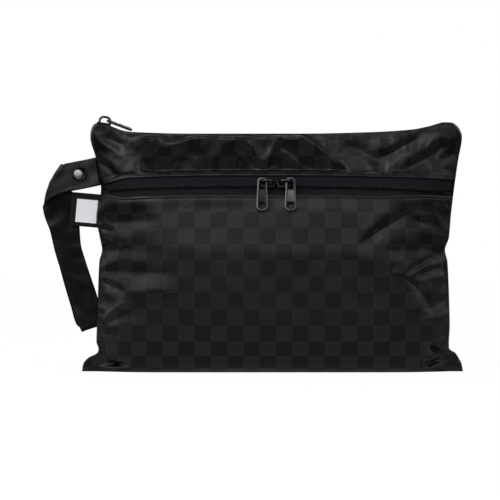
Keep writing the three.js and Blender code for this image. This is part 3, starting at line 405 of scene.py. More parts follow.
def add(tree, kind, inputs=None, out=None, **settings):
    """A new node with its settings, each input given a value or a link, or only the output that is named."""
    made = tree.nodes.new(kind)
    for name, value in settings.items():
        setattr(made, name, value)
    for name, value in (inputs or {}).items():
        if isinstance(value, bpy.types.NodeSocket):
            tree.links.new(value, made.inputs[name])
        else:
            made.inputs[name].default_value = value
    return made.outputs[out] if out else made


def material(name, **sockets):
    """A new material, its node tree and its shader, with the values that are the same all over."""
    made = bpy.data.materials.new(name)
    made.use_nodes = True
    shader = made.node_tree.nodes["Principled BSDF"]
    for socket, value in sockets.items():
        shader.inputs[socket.replace("_", " ")].default_value = value
    return made, made.node_tree, shader


def finish_shader(tree, shader, colour, rough, height, depth):
    """Link a colour, a roughness and a bump of a real depth in metres to a shader."""
    bump = add(tree, "ShaderNodeBump", {"Height": height, "Strength": 1.0, "Distance": depth}, "Normal")
    for socket, source in (("Base Color", colour), ("Roughness", rough), ("Normal", bump)):
        tree.links.new(source, shader.inputs[socket])


# Coated polyester woven with a black checker: satin squares among matte ones, 14.1 mm each.
# The eye sees two blacks that differ more in shine than in colour, and fine ribs in the satin squares.
CHECK = 14.1 * MM
WAVE = math.pi / 10  # a wave texture of scale 1 repeats in this length
RIB, RIB_TONE = 1.7 * MM, 0.22  # the real ribs are about 0.4 mm, drawn coarser so that they show
OUTLINE, OUTLINE_FADE, OUTLINE_TONE = 0.7 * MM, 1.7 * MM, 0.3  # the brighter line round a satin square


def checked_polyester(name, dark, light, gloss, blotch, blotch_size):
    made, tree, shader = material(name, Specular_IOR_Level=gloss, Sheen_Weight=0.03, Sheen_Roughness=0.4)
    place = add(tree, "ShaderNodeUVMap", out="UV", uv_map="cloth")
    check = add(tree, "ShaderNodeTexChecker", {
        "Vector": place, "Scale": 1 / CHECK, "Color1": (1, 1, 1, 1), "Color2": (0, 0, 0, 1)}, "Fac")
    ribs, weft = [add(tree, "ShaderNodeTexWave", {
        "Vector": place, "Scale": WAVE / RIB, "Distortion": 0.6, "Detail": 1.0}, "Fac", bands_direction=axis)
        for axis in "XY"]
    weave = add(tree, "ShaderNodeMath", {0: ribs, 1: weft}, "Value", operation="MULTIPLY")
    ribbed = add(tree, "ShaderNodeMix", {"Factor": check, "A": weave, "B": ribs}, "Result")
    split = add(tree, "ShaderNodeSeparateXYZ", {"Vector": place})
    to_edge = [add(tree, "ShaderNodeMath", {0: split.outputs[axis], 1: CHECK / 2}, "Value",
                   operation="PINGPONG") for axis in "XY"]
    to_edge = add(tree, "ShaderNodeMath", {0: to_edge[0], 1: to_edge[1]}, "Value", operation="MINIMUM")
    outline = add(tree, "ShaderNodeMapRange", {
        "Value": to_edge, "From Min": OUTLINE, "From Max": OUTLINE_FADE,
        "To Min": OUTLINE_TONE, "To Max": 0.0}, "Result")
    cloudy = add(tree, "ShaderNodeTexNoise", {
        "Vector": place, "Scale": 1 / blotch_size, "Detail": 4.0}, "Fac")
    tone = add(tree, "ShaderNodeMath", {0: ribbed, 1: RIB_TONE, 2: -RIB_TONE / 2}, "Value",
               operation="MULTIPLY_ADD")
    tone = add(tree, "ShaderNodeMath", {0: check, 1: tone}, "Value", operation="ADD")
    tone = add(tree, "ShaderNodeMath", {0: outline, 1: check, 2: tone}, "Value", operation="MULTIPLY_ADD")
    wash = add(tree, "ShaderNodeMath", {0: cloudy, 1: blotch, 2: -blotch / 2}, "Value",
               operation="MULTIPLY_ADD")
    tone = add(tree, "ShaderNodeMath", {0: tone, 1: wash}, "Value", operation="ADD")
    colour = add(tree, "ShaderNodeMix", {"Factor": tone, "A": linear(dark), "B": linear(light)}, "Result",
                 data_type="RGBA", clamp_factor=False)
    rough = add(tree, "ShaderNodeMapRange", {"Value": tone, "To Min": 0.38, "To Max": 0.31}, "Result")
    finish_shader(tree, shader, colour, rough, ribbed, 0.03 * MM)
    return made


# Woven polyester zip tape: dull, a little blue beside the cloth, with a fine herringbone
HERRINGBONE, HERRINGBONE_RIB = 1.8 * MM, 0.8  # about twice the real size, and the rib as a share of it


def woven_tape():
    made, tree, shader = material("woven_zip_tape", Specular_IOR_Level=0.12, Sheen_Weight=0.012)
    place = add(tree, "ShaderNodeUVMap", out="UV", uv_map="cloth")
    split = add(tree, "ShaderNodeSeparateXYZ", {"Vector": place})
    zigzag = add(tree, "ShaderNodeMath", {0: split.outputs["Y"], 1: HERRINGBONE}, "Value",
                 operation="PINGPONG")
    slant = add(tree, "ShaderNodeMath", {0: split.outputs["X"], 1: zigzag}, "Value", operation="ADD")
    turns = add(tree, "ShaderNodeMath", {0: slant, 1: 2 * math.pi / (HERRINGBONE_RIB * HERRINGBONE)}, "Value",
                operation="MULTIPLY")
    rib = add(tree, "ShaderNodeMath", {0: turns}, "Value", operation="SINE")
    height = add(tree, "ShaderNodeMath", {0: rib, 1: 0.5, 2: 0.5}, "Value", operation="MULTIPLY_ADD")
    colour = add(tree, "ShaderNodeMix", {"Factor": height, "A": linear("#0b0b11"), "B": linear("#15151e")},
                 "Result", data_type="RGBA")
    rough = add(tree, "ShaderNodeMapRange", {"Value": height, "To Min": 0.78, "To Max": 0.66}, "Result")
    finish_shader(tree, shader, colour, rough, height, 0.08 * MM)
    return made


# Nylon zip coil: smooth round plastic with a soft gleam and a little dust between the turns
DUST = 3 * MM


def nylon_coil():
    made, tree, shader = material("nylon_coil", Specular_IOR_Level=0.19)
    place = add(tree, "ShaderNodeTexCoord", out="Object")
    dust = add(tree, "ShaderNodeTexNoise", {"Vector": place, "Scale": 1 / DUST, "Detail": 3.0}, "Fac")
    colour = add(tree, "ShaderNodeMix", {"Factor": dust, "A": linear("#060608"), "B": linear("#0e0e12")},
                 "Result", data_type="RGBA")
    rough = add(tree, "ShaderNodeMapRange", {"Value": dust, "To Min": 0.3, "To Max": 0.48}, "Result")
    finish_shader(tree, shader, colour, rough, dust, 0.02 * MM)
    return made


# Plated zinc, brushed along each piece: grey mirror broken into fine lines, duller where it is handled, and
# painted dark on marked faces, partly as unworn plating and partly as painted shade
BRUSH, BRUSH_LENGTH = 0.7 * MM, 20  # width of a line, in truth far finer, and how many times longer it is
HANDLED = 6 * MM
PLATING_AND_SHADE_MARK = 1.0  # added to the UV of faces painted in the dark plating: partly sunk faces that no hand rubs, partly painted shade on the slider body and on flat pull faces beside brighter rims


def plated_zinc(name, dark, light, rough_from, rough_to):
    made, tree, shader = material(name, Metallic=1.0)
    place = add(tree, "ShaderNodeUVMap", out="UV", uv_map="grain")
    drawn = add(tree, "ShaderNodeMapping", {
        "Vector": place, "Scale": (1 / BRUSH, 1 / BRUSH_LENGTH / BRUSH, 1)}, "Vector")
    lines = add(tree, "ShaderNodeTexNoise", {"Vector": drawn, "Scale": 1.0, "Detail": 3.0}, "Fac")
    body = add(tree, "ShaderNodeTexCoord", out="Object")
    handled = add(tree, "ShaderNodeTexNoise", {"Vector": body, "Scale": 1 / HANDLED, "Detail": 2.0}, "Fac")
    colour = add(tree, "ShaderNodeMix", {"Factor": lines, "A": linear(dark), "B": linear(light)}, "Result",
                 data_type="RGBA")
    side = add(tree, "ShaderNodeSeparateXYZ", {"Vector": place}, "X")
    dark_plating_and_shade = add(tree, "ShaderNodeMath", {0: side, 1: PLATING_AND_SHADE_MARK / 2}, "Value", operation="GREATER_THAN")
    colour = add(tree, "ShaderNodeMix", {"Factor": dark_plating_and_shade, "A": colour, "B": linear(dark)}, "Result",
                 data_type="RGBA")
    worn = add(tree, "ShaderNodeMath", {0: lines, 1: handled}, "Value", operation="MULTIPLY")
    rough = add(tree, "ShaderNodeMapRange", {
        "Value": worn, "From Min": 0.1, "From Max": 0.5, "To Min": rough_from, "To Max": rough_to}, "Result")
    finish_shader(tree, shader, colour, rough, lines, 0.02 * MM)
    return made


# Damask label: black satin ground with a plain field woven in white
LABEL_THREAD = 1.0 * MM  # drawn coarser than it is, so that it shows


def woven_label():
    made, tree, shader = material("damask_label", Specular_IOR_Level=0.2, Sheen_Weight=0.02)
    place = add(tree, "ShaderNodeUVMap", out="UV", uv_map="cloth")
    split = add(tree, "ShaderNodeSeparateXYZ", {"Vector": place})
    within = []
    for axis, field_at, half in zip("XY", LABEL_FIELD[:2], LABEL_FIELD[2:]):
        off = add(tree, "ShaderNodeMath", {0: split.outputs[axis], 1: field_at * MM}, "Value",
                  operation="SUBTRACT")
        off = add(tree, "ShaderNodeMath", {0: off}, "Value", operation="ABSOLUTE")
        within.append(add(tree, "ShaderNodeMath", {0: off, 1: half * MM}, "Value", operation="LESS_THAN"))
    inside = add(tree, "ShaderNodeMath", {0: within[0], 1: within[1]}, "Value", operation="MULTIPLY")
    thread = add(tree, "ShaderNodeTexWave", {
        "Vector": place, "Scale": WAVE / LABEL_THREAD, "Distortion": 0.3}, "Fac", bands_direction="Y")
    black = add(tree, "ShaderNodeMix", {"Factor": thread, "A": linear("#070708"), "B": linear("#101011")},
                "Result", data_type="RGBA")
    white = add(tree, "ShaderNodeMix", {"Factor": thread, "A": linear("#e4e4ea"), "B": linear("#fbfbff")},
                "Result", data_type="RGBA")
    colour = add(tree, "ShaderNodeMix", {"Factor": inside, "A": black, "B": white}, "Result",
                 data_type="RGBA")
    rough = add(tree, "ShaderNodeMapRange", {"Value": thread, "To Min": 0.6, "To Max": 0.75}, "Result")
    finish_shader(tree, shader, colour, rough, thread, 0.05 * MM)
    return made


# Polyester sewing thread: twisted, a little glossier than the cloth it pulls in
PLY = 0.8 * MM  # drawn coarser than it is, so that it shows


def sewing_thread():
    made, tree, shader = material("sewing_thread", Specular_IOR_Level=0.29, Sheen_Weight=0.06)
    place = add(tree, "ShaderNodeTexCoord", out="Object")
    ply = add(tree, "ShaderNodeTexWave", {"Vector": place, "Scale": WAVE / PLY}, "Fac",
              bands_direction="DIAGONAL")
    colour = add(tree, "ShaderNodeMix", {"Factor": ply, "A": linear("#0f0f11"), "B": linear("#202023")},
                 "Result", data_type="RGBA")
    rough = add(tree, "ShaderNodeMapRange", {"Value": ply, "To Min": 0.42, "To Max": 0.6}, "Result")
    finish_shader(tree, shader, colour, rough, ply, 0.05 * MM)
    return made


# Modelling, in millimetres until a piece is put in its place
ALONG = 0.9  # how nearly an edge or a face has to point along an axis to be chosen by it


def begin(adder, **settings):
    """A new primitive, alone in the selection and with its size and place in its mesh."""
    bpy.ops.object.select_all(action="DESELECT")
    adder(**settings)
    bpy.ops.object.transform_apply(location=True, rotation=True, scale=True)
    return bpy.context.object


def block(x, y, z):
    """A box between three pairs of planes, to be shaped further."""
    low, high = Vector((x[0], y[0], z[0])), Vector((x[1], y[1], z[1]))
    return begin(bpy.ops.mesh.primitive_cube_add, size=1, location=(low + high) / 2, scale=high - low)


def choose(piece, kind, test):
    """Open a piece in edit mode with only those parts selected whose place and way pass a test."""
    bpy.context.view_layer.objects.active = piece
    bpy.ops.object.mode_set(mode="EDIT")
    bpy.ops.mesh.select_mode(type=kind)
    bpy.ops.mesh.select_all(action="DESELECT")
    bpy.ops.object.mode_set(mode="OBJECT")
    mesh = piece.data
    if kind == "FACE":
        for face in mesh.polygons:
            face.select = bool(test(face.center, face.normal))
    elif kind == "EDGE":
        for edge in mesh.edges:
            a, b = (mesh.vertices[i].co for i in edge.vertices)
            edge.select = bool(test((a + b) / 2, (b - a).normalized()))
    else:
        for corner in mesh.vertices:
            corner.select = bool(test(corner.co, corner.normal))
    bpy.ops.object.mode_set(mode="EDIT")


def open_all(kind):
    """Open the new piece in edit mode with everything selected."""
    bpy.ops.object.mode_set(mode="EDIT")
    bpy.ops.mesh.select_mode(type=kind)
    bpy.ops.mesh.select_all(action="SELECT")


def close_edit():
    bpy.ops.object.mode_set(mode="OBJECT")


def draw_on(*way):
    """Extrude the open end of a tube that is selected."""
    bpy.ops.mesh.extrude_edges_move(TRANSFORM_OT_translate={"value": way})


def close_tube():
    """Close both ends of a tube, turn its faces outwards and leave edit mode."""
    bpy.ops.mesh.select_all(action="SELECT")
    bpy.ops.mesh.fill_holes(sides=0)
    bpy.ops.mesh.remove_doubles(threshold=0.001)
    bpy.ops.mesh.normals_make_consistent(inside=False)
    close_edit()


def round_edges(piece, test, offset, segments):
    choose(piece, "EDGE", test)
    bpy.ops.mesh.bevel(offset=offset, segments=segments, affect="EDGES")
    close_edit()


def widen(piece, test, share):
    """Move the chosen corners of a piece apart, or together, across its middle."""
    choose(piece, "VERT", test)
    bpy.ops.transform.resize(value=share, center_override=(0, 0, 0))
    close_edit()


def apply_all(piece):
    bpy.ops.object.select_all(action="DESELECT")
    piece.select_set(True)
    bpy.context.view_layer.objects.active = piece
    for modifier in list(piece.modifiers):
        bpy.ops.object.modifier_apply(modifier=modifier.name)


def combine(piece, others, operation):
    """Join other pieces to a piece, or cut them out of it, and remove them."""
    for other in others:
        join = piece.modifiers.new("join", "BOOLEAN")
        join.object, join.operation, join.solver = other, operation, "EXACT"
    apply_all(piece)
    for other in others:
        bpy.data.objects.remove(other)
    return piece


def soften(piece, width, segments=2, angle=35):
    """Round every sharp edge a little."""
    bevel = piece.modifiers.new("soften", "BEVEL")
    bevel.width, bevel.segments, bevel.limit_method = width, segments, "ANGLE"
    bevel.angle_limit = math.radians(angle)
    bevel.harden_normals = False
    apply_all(piece)
    return piece


def walled(piece, thick, offset=-1):
    """Give a sheet its thickness in millimetres, behind its face or, with an offset of 0, on both sides."""
    wall = piece.modifiers.new("wall", "SOLIDIFY")
    wall.thickness, wall.offset = thick * MM, offset
    apply_all(piece)


def grain_uv(piece, dark_plating_and_shade):
    """Flat UV map over a stamped or turned piece in its own frame, in metres, with the faces marked that are
    painted dark, partly as unworn plating and partly as painted shade.
    """
    layer = piece.data.uv_layers.new(name="grain")
    for face in piece.data.polygons:
        shift = Vector((PLATING_AND_SHADE_MARK if dark_plating_and_shade(face.center, face.normal) else 0, 0))
        for corner in face.loop_indices:
            place = piece.data.vertices[piece.data.loops[corner].vertex_index].co.xy
            layer.data[corner].uv = place * MM + shift
    piece.data.uv_layers.active = layer


def vertices_of(piece):
    places = np.empty(len(piece.data.vertices) * 3)
    piece.data.vertices.foreach_get("co", places)
    return places.reshape(-1, 3)


def from_arrays(name, points, faces, uv=None):
    """An object from points in metres and faces, with a UV for each face corner's point."""
    mesh = bpy.data.meshes.new(name)
    mesh.from_pydata(points.tolist(), [], [list(map(int, face)) for face in faces])
    if uv is not None:
        layer = mesh.uv_layers.new(name="cloth")
        corners = np.empty(len(mesh.loops), int)
        mesh.loops.foreach_get("vertex_index", corners)
        layer.data.foreach_set("uv", uv[corners].astype(np.float32).ravel())
    made = bpy.data.objects.new(name, mesh)
    bpy.context.scene.collection.objects.link(made)
    return made


def copies(name, prototype, frames):
    """One piece of many copies of a modelled shape, each placed by its own frame (a 4 x 4 matrix in mm)."""
    shape = np.c_[vertices_of(prototype), np.ones(len(prototype.data.vertices))]
    faces = [np.array(face.vertices) for face in prototype.data.polygons]
    points = np.concatenate([(shape @ np.array(at).T)[:, :3] for at in frames]) * MM
    many = [face + i * len(shape) for i in range(len(frames)) for face in faces]
    return from_arrays(name, points, many)


def hand_over(piece, name, finish, nodes, body="bag", angle=40):
    """Name, finish and attach a piece that is already in its place."""
    piece.name = piece.data.name = name
    piece.data.materials.clear()
    piece.data.materials.append(finish)
    bpy.ops.object.select_all(action="DESELECT")
    piece.select_set(True)
    bpy.context.view_layer.objects.active = piece
    bpy.ops.object.shade_smooth_by_angle(angle=math.radians(angle))
    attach(piece, body)
    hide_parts(*nodes)
    return piece


def put(prototype, matrix):
    """A copy of a modelled shape, with its own mesh, moved to its place in metres."""
    made = bpy.data.objects.new(prototype.name, prototype.data.copy())
    bpy.context.scene.collection.objects.link(made)
    made.data.transform(Matrix.Scale(MM, 4) @ matrix)
    return made


def turned(degrees, axis):
    return Matrix.Rotation(math.radians(degrees), 4, axis)


def surface(x, z, inset=0.0):
    """Points on the plain front moved inwards square to it, and the way out of it there."""
    x, z = np.broadcast_arrays(np.asarray(x, float), np.asarray(z, float))
    by_side = (plain_depth(x + 1, z) - plain_depth(x - 1, z)) / 2
    by_height = (plain_depth(x, z + 1) - plain_depth(x, z - 1)) / 2
    out = np.stack([-by_side, -np.ones_like(by_side), -by_height], -1)
    out /= np.linalg.norm(out, axis=-1, keepdims=True)
    return np.stack([x, middle(z) - plain_depth(x, z), z], -1) - inset * out, out


def frames_along(points, outs):
    """Frames with x along a line of points, z out of what it lies on and y across."""
    along = np.gradient(points, axis=0)
    along /= np.linalg.norm(along, axis=1, keepdims=True)
    across = np.cross(outs, along)
    across /= np.linalg.norm(across, axis=1, keepdims=True)
    out = np.cross(along, across)
    made = np.tile(np.eye(4), (len(points), 1, 1))
    made[:, :3, 0], made[:, :3, 1], made[:, :3, 2], made[:, :3, 3] = along, across, out, points
    return made


def distances(points):
    """Length of a line of points up to each of them."""
    return np.concatenate([[0], np.cumsum(np.linalg.norm(np.diff(points, axis=0), axis=1))])


def read_at(at, way, rows):
    """Rows that lie at places along a way, read at other places."""
    return np.stack([np.interp(at, way, rows[:, k]) for k in range(rows.shape[1])], 1)


def evenly(points, outs, pitch):
    """A line of points and the ways out there, taken again at an even pitch."""
    way = distances(points)
    at = np.linspace(0, way[-1], max(2, round(way[-1] / pitch) + 1))
    return read_at(at, way, points), read_at(at, way, outs)


# Front zip tapes, which part where the two sliders meet
def front_tape(name, node, side):
    x = np.linspace(ZIP_LEFT + ZIP_END_GAP, ZIP_RIGHT - ZIP_END_GAP, TAPE_COLUMNS)[None, :]
    parted = smooth((x - PARTED[0]) / PARTED_FADE) * smooth((PARTED[1] - x) / PARTED_FADE)
    split = TAPE_SPLIT + PARTED_BY * parted
    over = split + (TAPE_REACH - split) * np.linspace(0, 1, TAPE_ROWS)[:, None]
    height = zip_line(x) + side * over
    inner_left, inner_right = seam_left(height) + TAPE_SIDE_GAP, seam_right(height) - TAPE_SIDE_GAP
    points, _ = surface(np.clip(x, inner_left, inner_right), height, TAPE_INSET)
    points[..., 1] = np.minimum(points[..., 1], -TAPE_THICK - GAP / 2)
    if side < 0:
        points, over = points[::-1], over[::-1]
    uv = np.stack([np.broadcast_to(x, over.shape), side * over], -1) * MM
    piece = grid_mesh(name, points * MM, uv)
    walled(piece, TAPE_THICK)
    return hand_over(piece, name, tape_finish, [node])


# Zip coil: one turn of nylon wire, open towards the other tape, copied along both halves of a chain
def coil_turn():
    low, high = COIL_BASE + COIL_WIRE, COIL_HEIGHT - COIL_WIRE
    mid, bend = (low + high) / 2, COIL_WIDTH / 2 - COIL_WIRE - (high - low) / 2
    turn = begin(bpy.ops.mesh.primitive_circle_add, vertices=6, radius=COIL_WIRE, fill_type="NOTHING",
                 location=(0, COIL_START, low), rotation=(math.radians(90), 0, 0))
    open_all("EDGE")
    draw_on(0, bend - COIL_START, 0)
    bpy.ops.mesh.spin(steps=4, angle=-math.pi, center=(0, bend, mid), axis=(1, 0, 0))
    draw_on(0, -bend - COIL_HEAD, 0)
    bpy.ops.mesh.spin(steps=2, angle=-math.pi / 2, center=(0, -COIL_HEAD, mid), axis=(1, 0, 0))
    close_tube()
    return turn


def zip_chain(name, node, points, outs, turn):
    """Both halves of a closed coil, each turn half a pitch from the one across."""
    frames = frames_along(*evenly(points, outs, COIL_PITCH / 2))
    other_side = np.diag([-1.0, -1.0, 1.0, 1.0])
    piece = copies(name, turn, [at if i % 2 else at @ other_side for i, at in enumerate(frames)])
    return hand_over(piece, name, coil_finish, [node], angle=60)


# Slider, with +x towards the head where the tapes part and +z away from the cloth
def slider_shape():
    half, head, tail = SLIDER_LENGTH / 2, SLIDER_HEAD / 2, SLIDER_TAIL / 2

    def plate(low, high):
        made = block((-half, half), (-head, head), (low, high))
        widen(made, lambda at, _: at.x < 0, (1, tail / head, 1))
        round_edges(made, lambda at, way: at.x > 0 and abs(way.z) > ALONG, offset=3.4, segments=6)
        round_edges(made, lambda at, way: at.x < 0 and abs(way.z) > ALONG, offset=1.0, segments=3)
        return made

    top = plate(OVER_PLATE, PLATE_TOP)
    choose(top, "FACE", lambda at, normal: normal.z > ALONG)
    bpy.ops.mesh.inset(thickness=1.0, depth=0.25)
    close_edit()
    under = plate(UNDER_PLATE - SLIDER_PLATE, UNDER_PLATE)
    post = block((POST_AT - POST_HALF, POST_AT + POST_HALF), (-POST_SIDE, POST_SIDE),
                 (UNDER_PLATE - CAST_INTO, OVER_PLATE + CAST_INTO))
    flanges = []
    for side in (-1, 1):
        y = side * (COIL_WIDTH / 2 + GAP + SLIDER_FLANGE / 2)
        flanges.append(block((-half + FLANGE_TAIL, half - FLANGE_HEAD),
                             (y - SLIDER_FLANGE / 2, y + SLIDER_FLANGE / 2),
                             (2 * GAP, OVER_PLATE + CAST_INTO)))
    foot = PLATE_TOP - CAST_INTO
    crown = PLATE_TOP + BAIL_RISE + BAIL_RADIUS
    bail = begin(bpy.ops.mesh.primitive_circle_add, vertices=12, radius=BAIL_RADIUS, fill_type="NOTHING",
                 location=(BAIL_TAIL, 0, foot))
    open_all("EDGE")
    draw_on(0, 0, crown - BAIL_BEND - foot)
    bpy.ops.mesh.spin(steps=5, angle=-math.pi / 2, axis=(0, 1, 0),
                      center=(BAIL_TAIL + BAIL_BEND, 0, crown - BAIL_BEND))
    draw_on(BAIL_HEAD - BAIL_TAIL - 2 * BAIL_BEND, 0, 0)
    bpy.ops.mesh.spin(steps=5, angle=-math.pi / 2, axis=(0, 1, 0),
                      center=(BAIL_HEAD - BAIL_BEND, 0, crown - BAIL_BEND))
    draw_on(0, 0, foot - crown + BAIL_BEND)
    close_tube()
    combine(top, [under, post, *flanges, bail], "UNION")
    soften(top, width=0.22)
    # Painted shade on the slider: all below the bail keeps the dark plating, and the bail is left bright,
    # partly as rubbed plating and partly as a painted highlight
    grain_uv(top, lambda at, _: at.z < RUBBED_AND_HIGHLIGHT_FROM)
    return top


# Pull: a stamped tongue with an eye, a sunk grip and a round hole, its tip towards -Y.
# Half widths at eye and tip, half thickness, and the end past the bail
PULL_EYE, PULL_WIDE, PULL_HALF, PULL_END = 3.9, 5.2, 1.0, 3.5
# Half width and ends of the eye, and radius and middle of the hole, which is counted from the tip
EYE_HALF, EYE_LOW, EYE_HIGH, HOLE_RADIUS, HOLE_UP = 2.4, -6.6, 1.9, 2.7, 4.6
# Half width of the grip, its lower end from the tip, its upper end and how narrow it is there, and its floor
GRIP_HALF, GRIP_UP, GRIP_HIGH, GRIP_NARROWS, GRIP_FLOOR = 3.2, 8.2, -7.4, 0.88, 0.45
# Places of the grip's ribs across, their half width, the room at their ends, and their height
GRIP_RIBS, GRIP_RIB_HALF, GRIP_RIB_ROOM, GRIP_RIB_TOP = (-1.7, 0, 1.7), 0.35, 0.5, 0.72
# Dark plating, partly painted shade, is left on flat faces, this far inside the sides and the tip and up to
# here, so that the rims show lighter as a painted highlight
FLAT, DARK_SIDE, DARK_TIP, DARK_TO = 0.95, 1.8 * PULL_RIM, 1.6 * PULL_RIM, 0.9


def pull_shape(tip, painted_shade_on_grip=True):
    tongue = block((-PULL_EYE, PULL_EYE), (-tip, PULL_END), (-PULL_HALF, PULL_HALF))
    widen(tongue, lambda at, _: at.y < 0, (PULL_WIDE / PULL_EYE, 1, 1))
    round_edges(tongue, lambda at, way: at.y < 0 and abs(way.z) > ALONG, offset=4.4, segments=8)
    round_edges(tongue, lambda at, way: at.y > 0 and abs(way.z) > ALONG, offset=3.0, segments=6)
    choose(tongue, "FACE", lambda at, normal: abs(normal.z) > ALONG)
    bpy.ops.mesh.inset(thickness=PULL_RIM)
    close_edit()
    right_through = 3 * PULL_HALF
    opening = block((-EYE_HALF, EYE_HALF), (EYE_LOW, EYE_HIGH), (-right_through, right_through))
    round_edges(opening, lambda at, way: at.y > 0 and abs(way.z) > ALONG, offset=2.0, segments=5)
    round_edges(opening, lambda at, way: at.y < EYE_LOW / 2 and abs(way.z) > ALONG, offset=0.9, segments=3)
    hole = begin(bpy.ops.mesh.primitive_cylinder_add, vertices=28, radius=HOLE_RADIUS,
                 depth=2 * right_through, location=(0, HOLE_UP - tip, 0))
    low, high = GRIP_UP - tip, GRIP_HIGH
    grips = []
    for side in (-1, 1):
        grip = block((-GRIP_HALF, GRIP_HALF), (low, high), sorted((side * GRIP_FLOOR, side * 2 * PULL_HALF)))
        widen(grip, lambda at, _: at.y > (low + high) / 2, (GRIP_NARROWS, 1, 1))
        round_edges(grip, lambda at, way: abs(way.z) > ALONG, offset=0.8, segments=3)
        grips.append(grip)
    combine(tongue, [opening, hole, *grips], "DIFFERENCE")
    ribs = []
    for across in GRIP_RIBS:
        rib = block((across - GRIP_RIB_HALF, across + GRIP_RIB_HALF),
                    (low + GRIP_RIB_ROOM, high - GRIP_RIB_ROOM), (-GRIP_RIB_TOP, GRIP_RIB_TOP))
        round_edges(rib, lambda at, way: abs(way.y) > ALONG, offset=0.18, segments=2)
        ribs.append(rib)
    combine(tongue, ribs, "UNION")
    soften(tongue, width=0.34, segments=3)

    # Flat faces are painted in the dark plating, partly as shade, so that the rims show lighter as a painted
    # highlight
    def dark(at, normal):
        inside = abs(at.x) < PULL_WIDE - DARK_SIDE and DARK_TIP - tip < at.y < DARK_TO
        # With painted shade on the grip its sunk floor is painted dark too; without it the grip floor is left
        # bright as a painted highlight
        return abs(normal.z) > FLAT and inside and (painted_shade_on_grip or abs(at.z) > 0.9 * PULL_HALF)

    grain_uv(tongue, dark)
    return tongue


# Stitch: a short pull of thread that sinks at both ends, along x. Its straight middle and each of its ends
# are shares of its length, how far an end sinks and how thin it is are shares of its thickness.
STITCH_MIDDLE, STITCH_END, STITCH_SINKS, STITCH_THINS = 0.6, 0.2, 0.45, 0.5


def stitch_shape(length, thick):
    made = begin(bpy.ops.mesh.primitive_cylinder_add, vertices=6, radius=thick / 2,
                 depth=STITCH_MIDDLE * length, end_fill_type="NGON", rotation=(0, math.radians(90), 0))
    for side in (-1, 1):
        choose(made, "FACE", lambda at, normal: normal.x * side > ALONG)
        bpy.ops.mesh.extrude_region_move(
            TRANSFORM_OT_translate={"value": (side * STITCH_END * length, 0, -STITCH_SINKS * thick)})
        bpy.ops.transform.resize(value=(1, STITCH_THINS, STITCH_THINS))
        close_edit()
    return made


def sew(name, lines, stitch):
    """Rows of stitches along lines of points and the ways out of the cloth there, in mm."""
    frames = []
    for points, outs in lines:
        frames += list(frames_along(*evenly(points, outs, STITCH_PITCH)))
    return hand_over(copies(name, stitch, frames), name, thread_finish, [], angle=70)


# Finishes
cloth_finish = checked_polyester("checked_polyester", "#030303", "#161616",
                                 gloss=0.25, blotch=0.6, blotch_size=22 * MM)
strap_finish = checked_polyester("checked_polyester_strap", "#020202", "#0a0a0a",
                                 gloss=0.18, blotch=2.4, blotch_size=13 * MM)
tape_finish = woven_tape()
coil_finish = nylon_coil()
zinc_finish = plated_zinc("black_nickel_zinc", "#19191b", "#5e5e60", rough_from=0.16, rough_to=0.34)
cap_finish = plated_zinc("satin_nickel_brass", "#7c7c7c", "#a2a29f", rough_from=0.4, rough_to=0.5)
label_finish = woven_label()
thread_finish = sewing_thread()


# Cloth panels
def grid_mesh(name, points, uv):
    """A quad mesh from an array of rows of points in metres, with a UV map in metres."""
    rows, columns = points.shape[:2]
    index = np.arange(rows * columns).reshape(rows, columns)
    quads = np.stack([index[:-1, :-1], index[:-1, 1:], index[1:, 1:], index[1:, :-1]], -1).reshape(-1, 4)
    return from_arrays(name, points.reshape(-1, 3), quads, uv.reshape(-1, 2))


def cloth_uv(points, across_at, up_at):
    """Distances along the cloth, counted from the place across and the height where both are 0."""
    across = np.array([distances(line) for line in points])
    for u, line in zip(across, points):
        u -= np.interp(across_at * MM, line[:, 0], u)
    column = np.abs(points[len(points) // 2, :, 0]).argmin()
    up = distances(points[:, column])
    up -= np.interp(up_at * MM, points[:, column, 2], up)
    return np.stack([across, np.repeat(up[:, None], points.shape[1], axis=1)], axis=2)


def spread(stops):
    """Shares from 0 to 1 from (share, step) stops, with steps that change evenly between them."""
    made = [0.0]
    while made[-1] < 1:
        made.append(made[-1] + np.interp(made[-1], *np.array(stops, float).T))
    return np.array(made) / made[-1]


def turned_in(x, z, depth):
    """A panel's depth with its edge turned in to the seam, less where strap and label are sewn in."""
    sewn = 0
    for low, high, open_by in (STRAP_LIP, LABEL_LIP):
        sewn = sewn + open_by * (smooth((z - low) / LIP_FADE) * smooth((high - z) / LIP_FADE))
    lip = SEAM_GAP + np.where(x < 0, sewn, 0)
    bent = 1 - np.clip(edge_distance(x, z) / SEAM_TURN, 0, 1)
    return lip + (depth - lip) * np.sqrt(1 - bent ** 2)


def slack_rise(x, z):
    """How far the slack cloth between the zips stands out, with ragged ends and a ridge that wanders."""
    ragged = crumple(x, z, scale=17, layer=24)
    begins = smooth((x + SLUMP_RAGGED * ragged - SLUMP_FROM) / SLUMP_FADE)
    right_end = SLUMP_TO + SLUMP_TO_SLANT * (z - SLUMP_TO_HEIGHT)
    ends = smooth((right_end - x - SLUMP_TO_RAGGED * ragged) / SLUMP_TO_FADE)
    ridge = ridge_height(x) - RIDGE_LEVEL + RIDGE_WANDERS * crumple(x, 0 * x, scale=9, layer=21)
    lift = ridge * smooth((z - RIDGE_FROM) / RIDGE_FADE)
    foot = FOOT_WANDERS * crumple(x, 0 * x, scale=11, layer=22)
    lift += foot * smooth((z - FOOT_FROM) / FOOT_FROM_FADE) * smooth((FOOT_TO - z) / FOOT_TO_FADE)
    return begins * ends * slump(z - lift) * (1 + SLUMP_UNEVEN * crumple(x, z, scale=21, layer=23))


def between_seams(z, share):
    return seam_left(z) + (seam_right(z) - seam_left(z)) * share


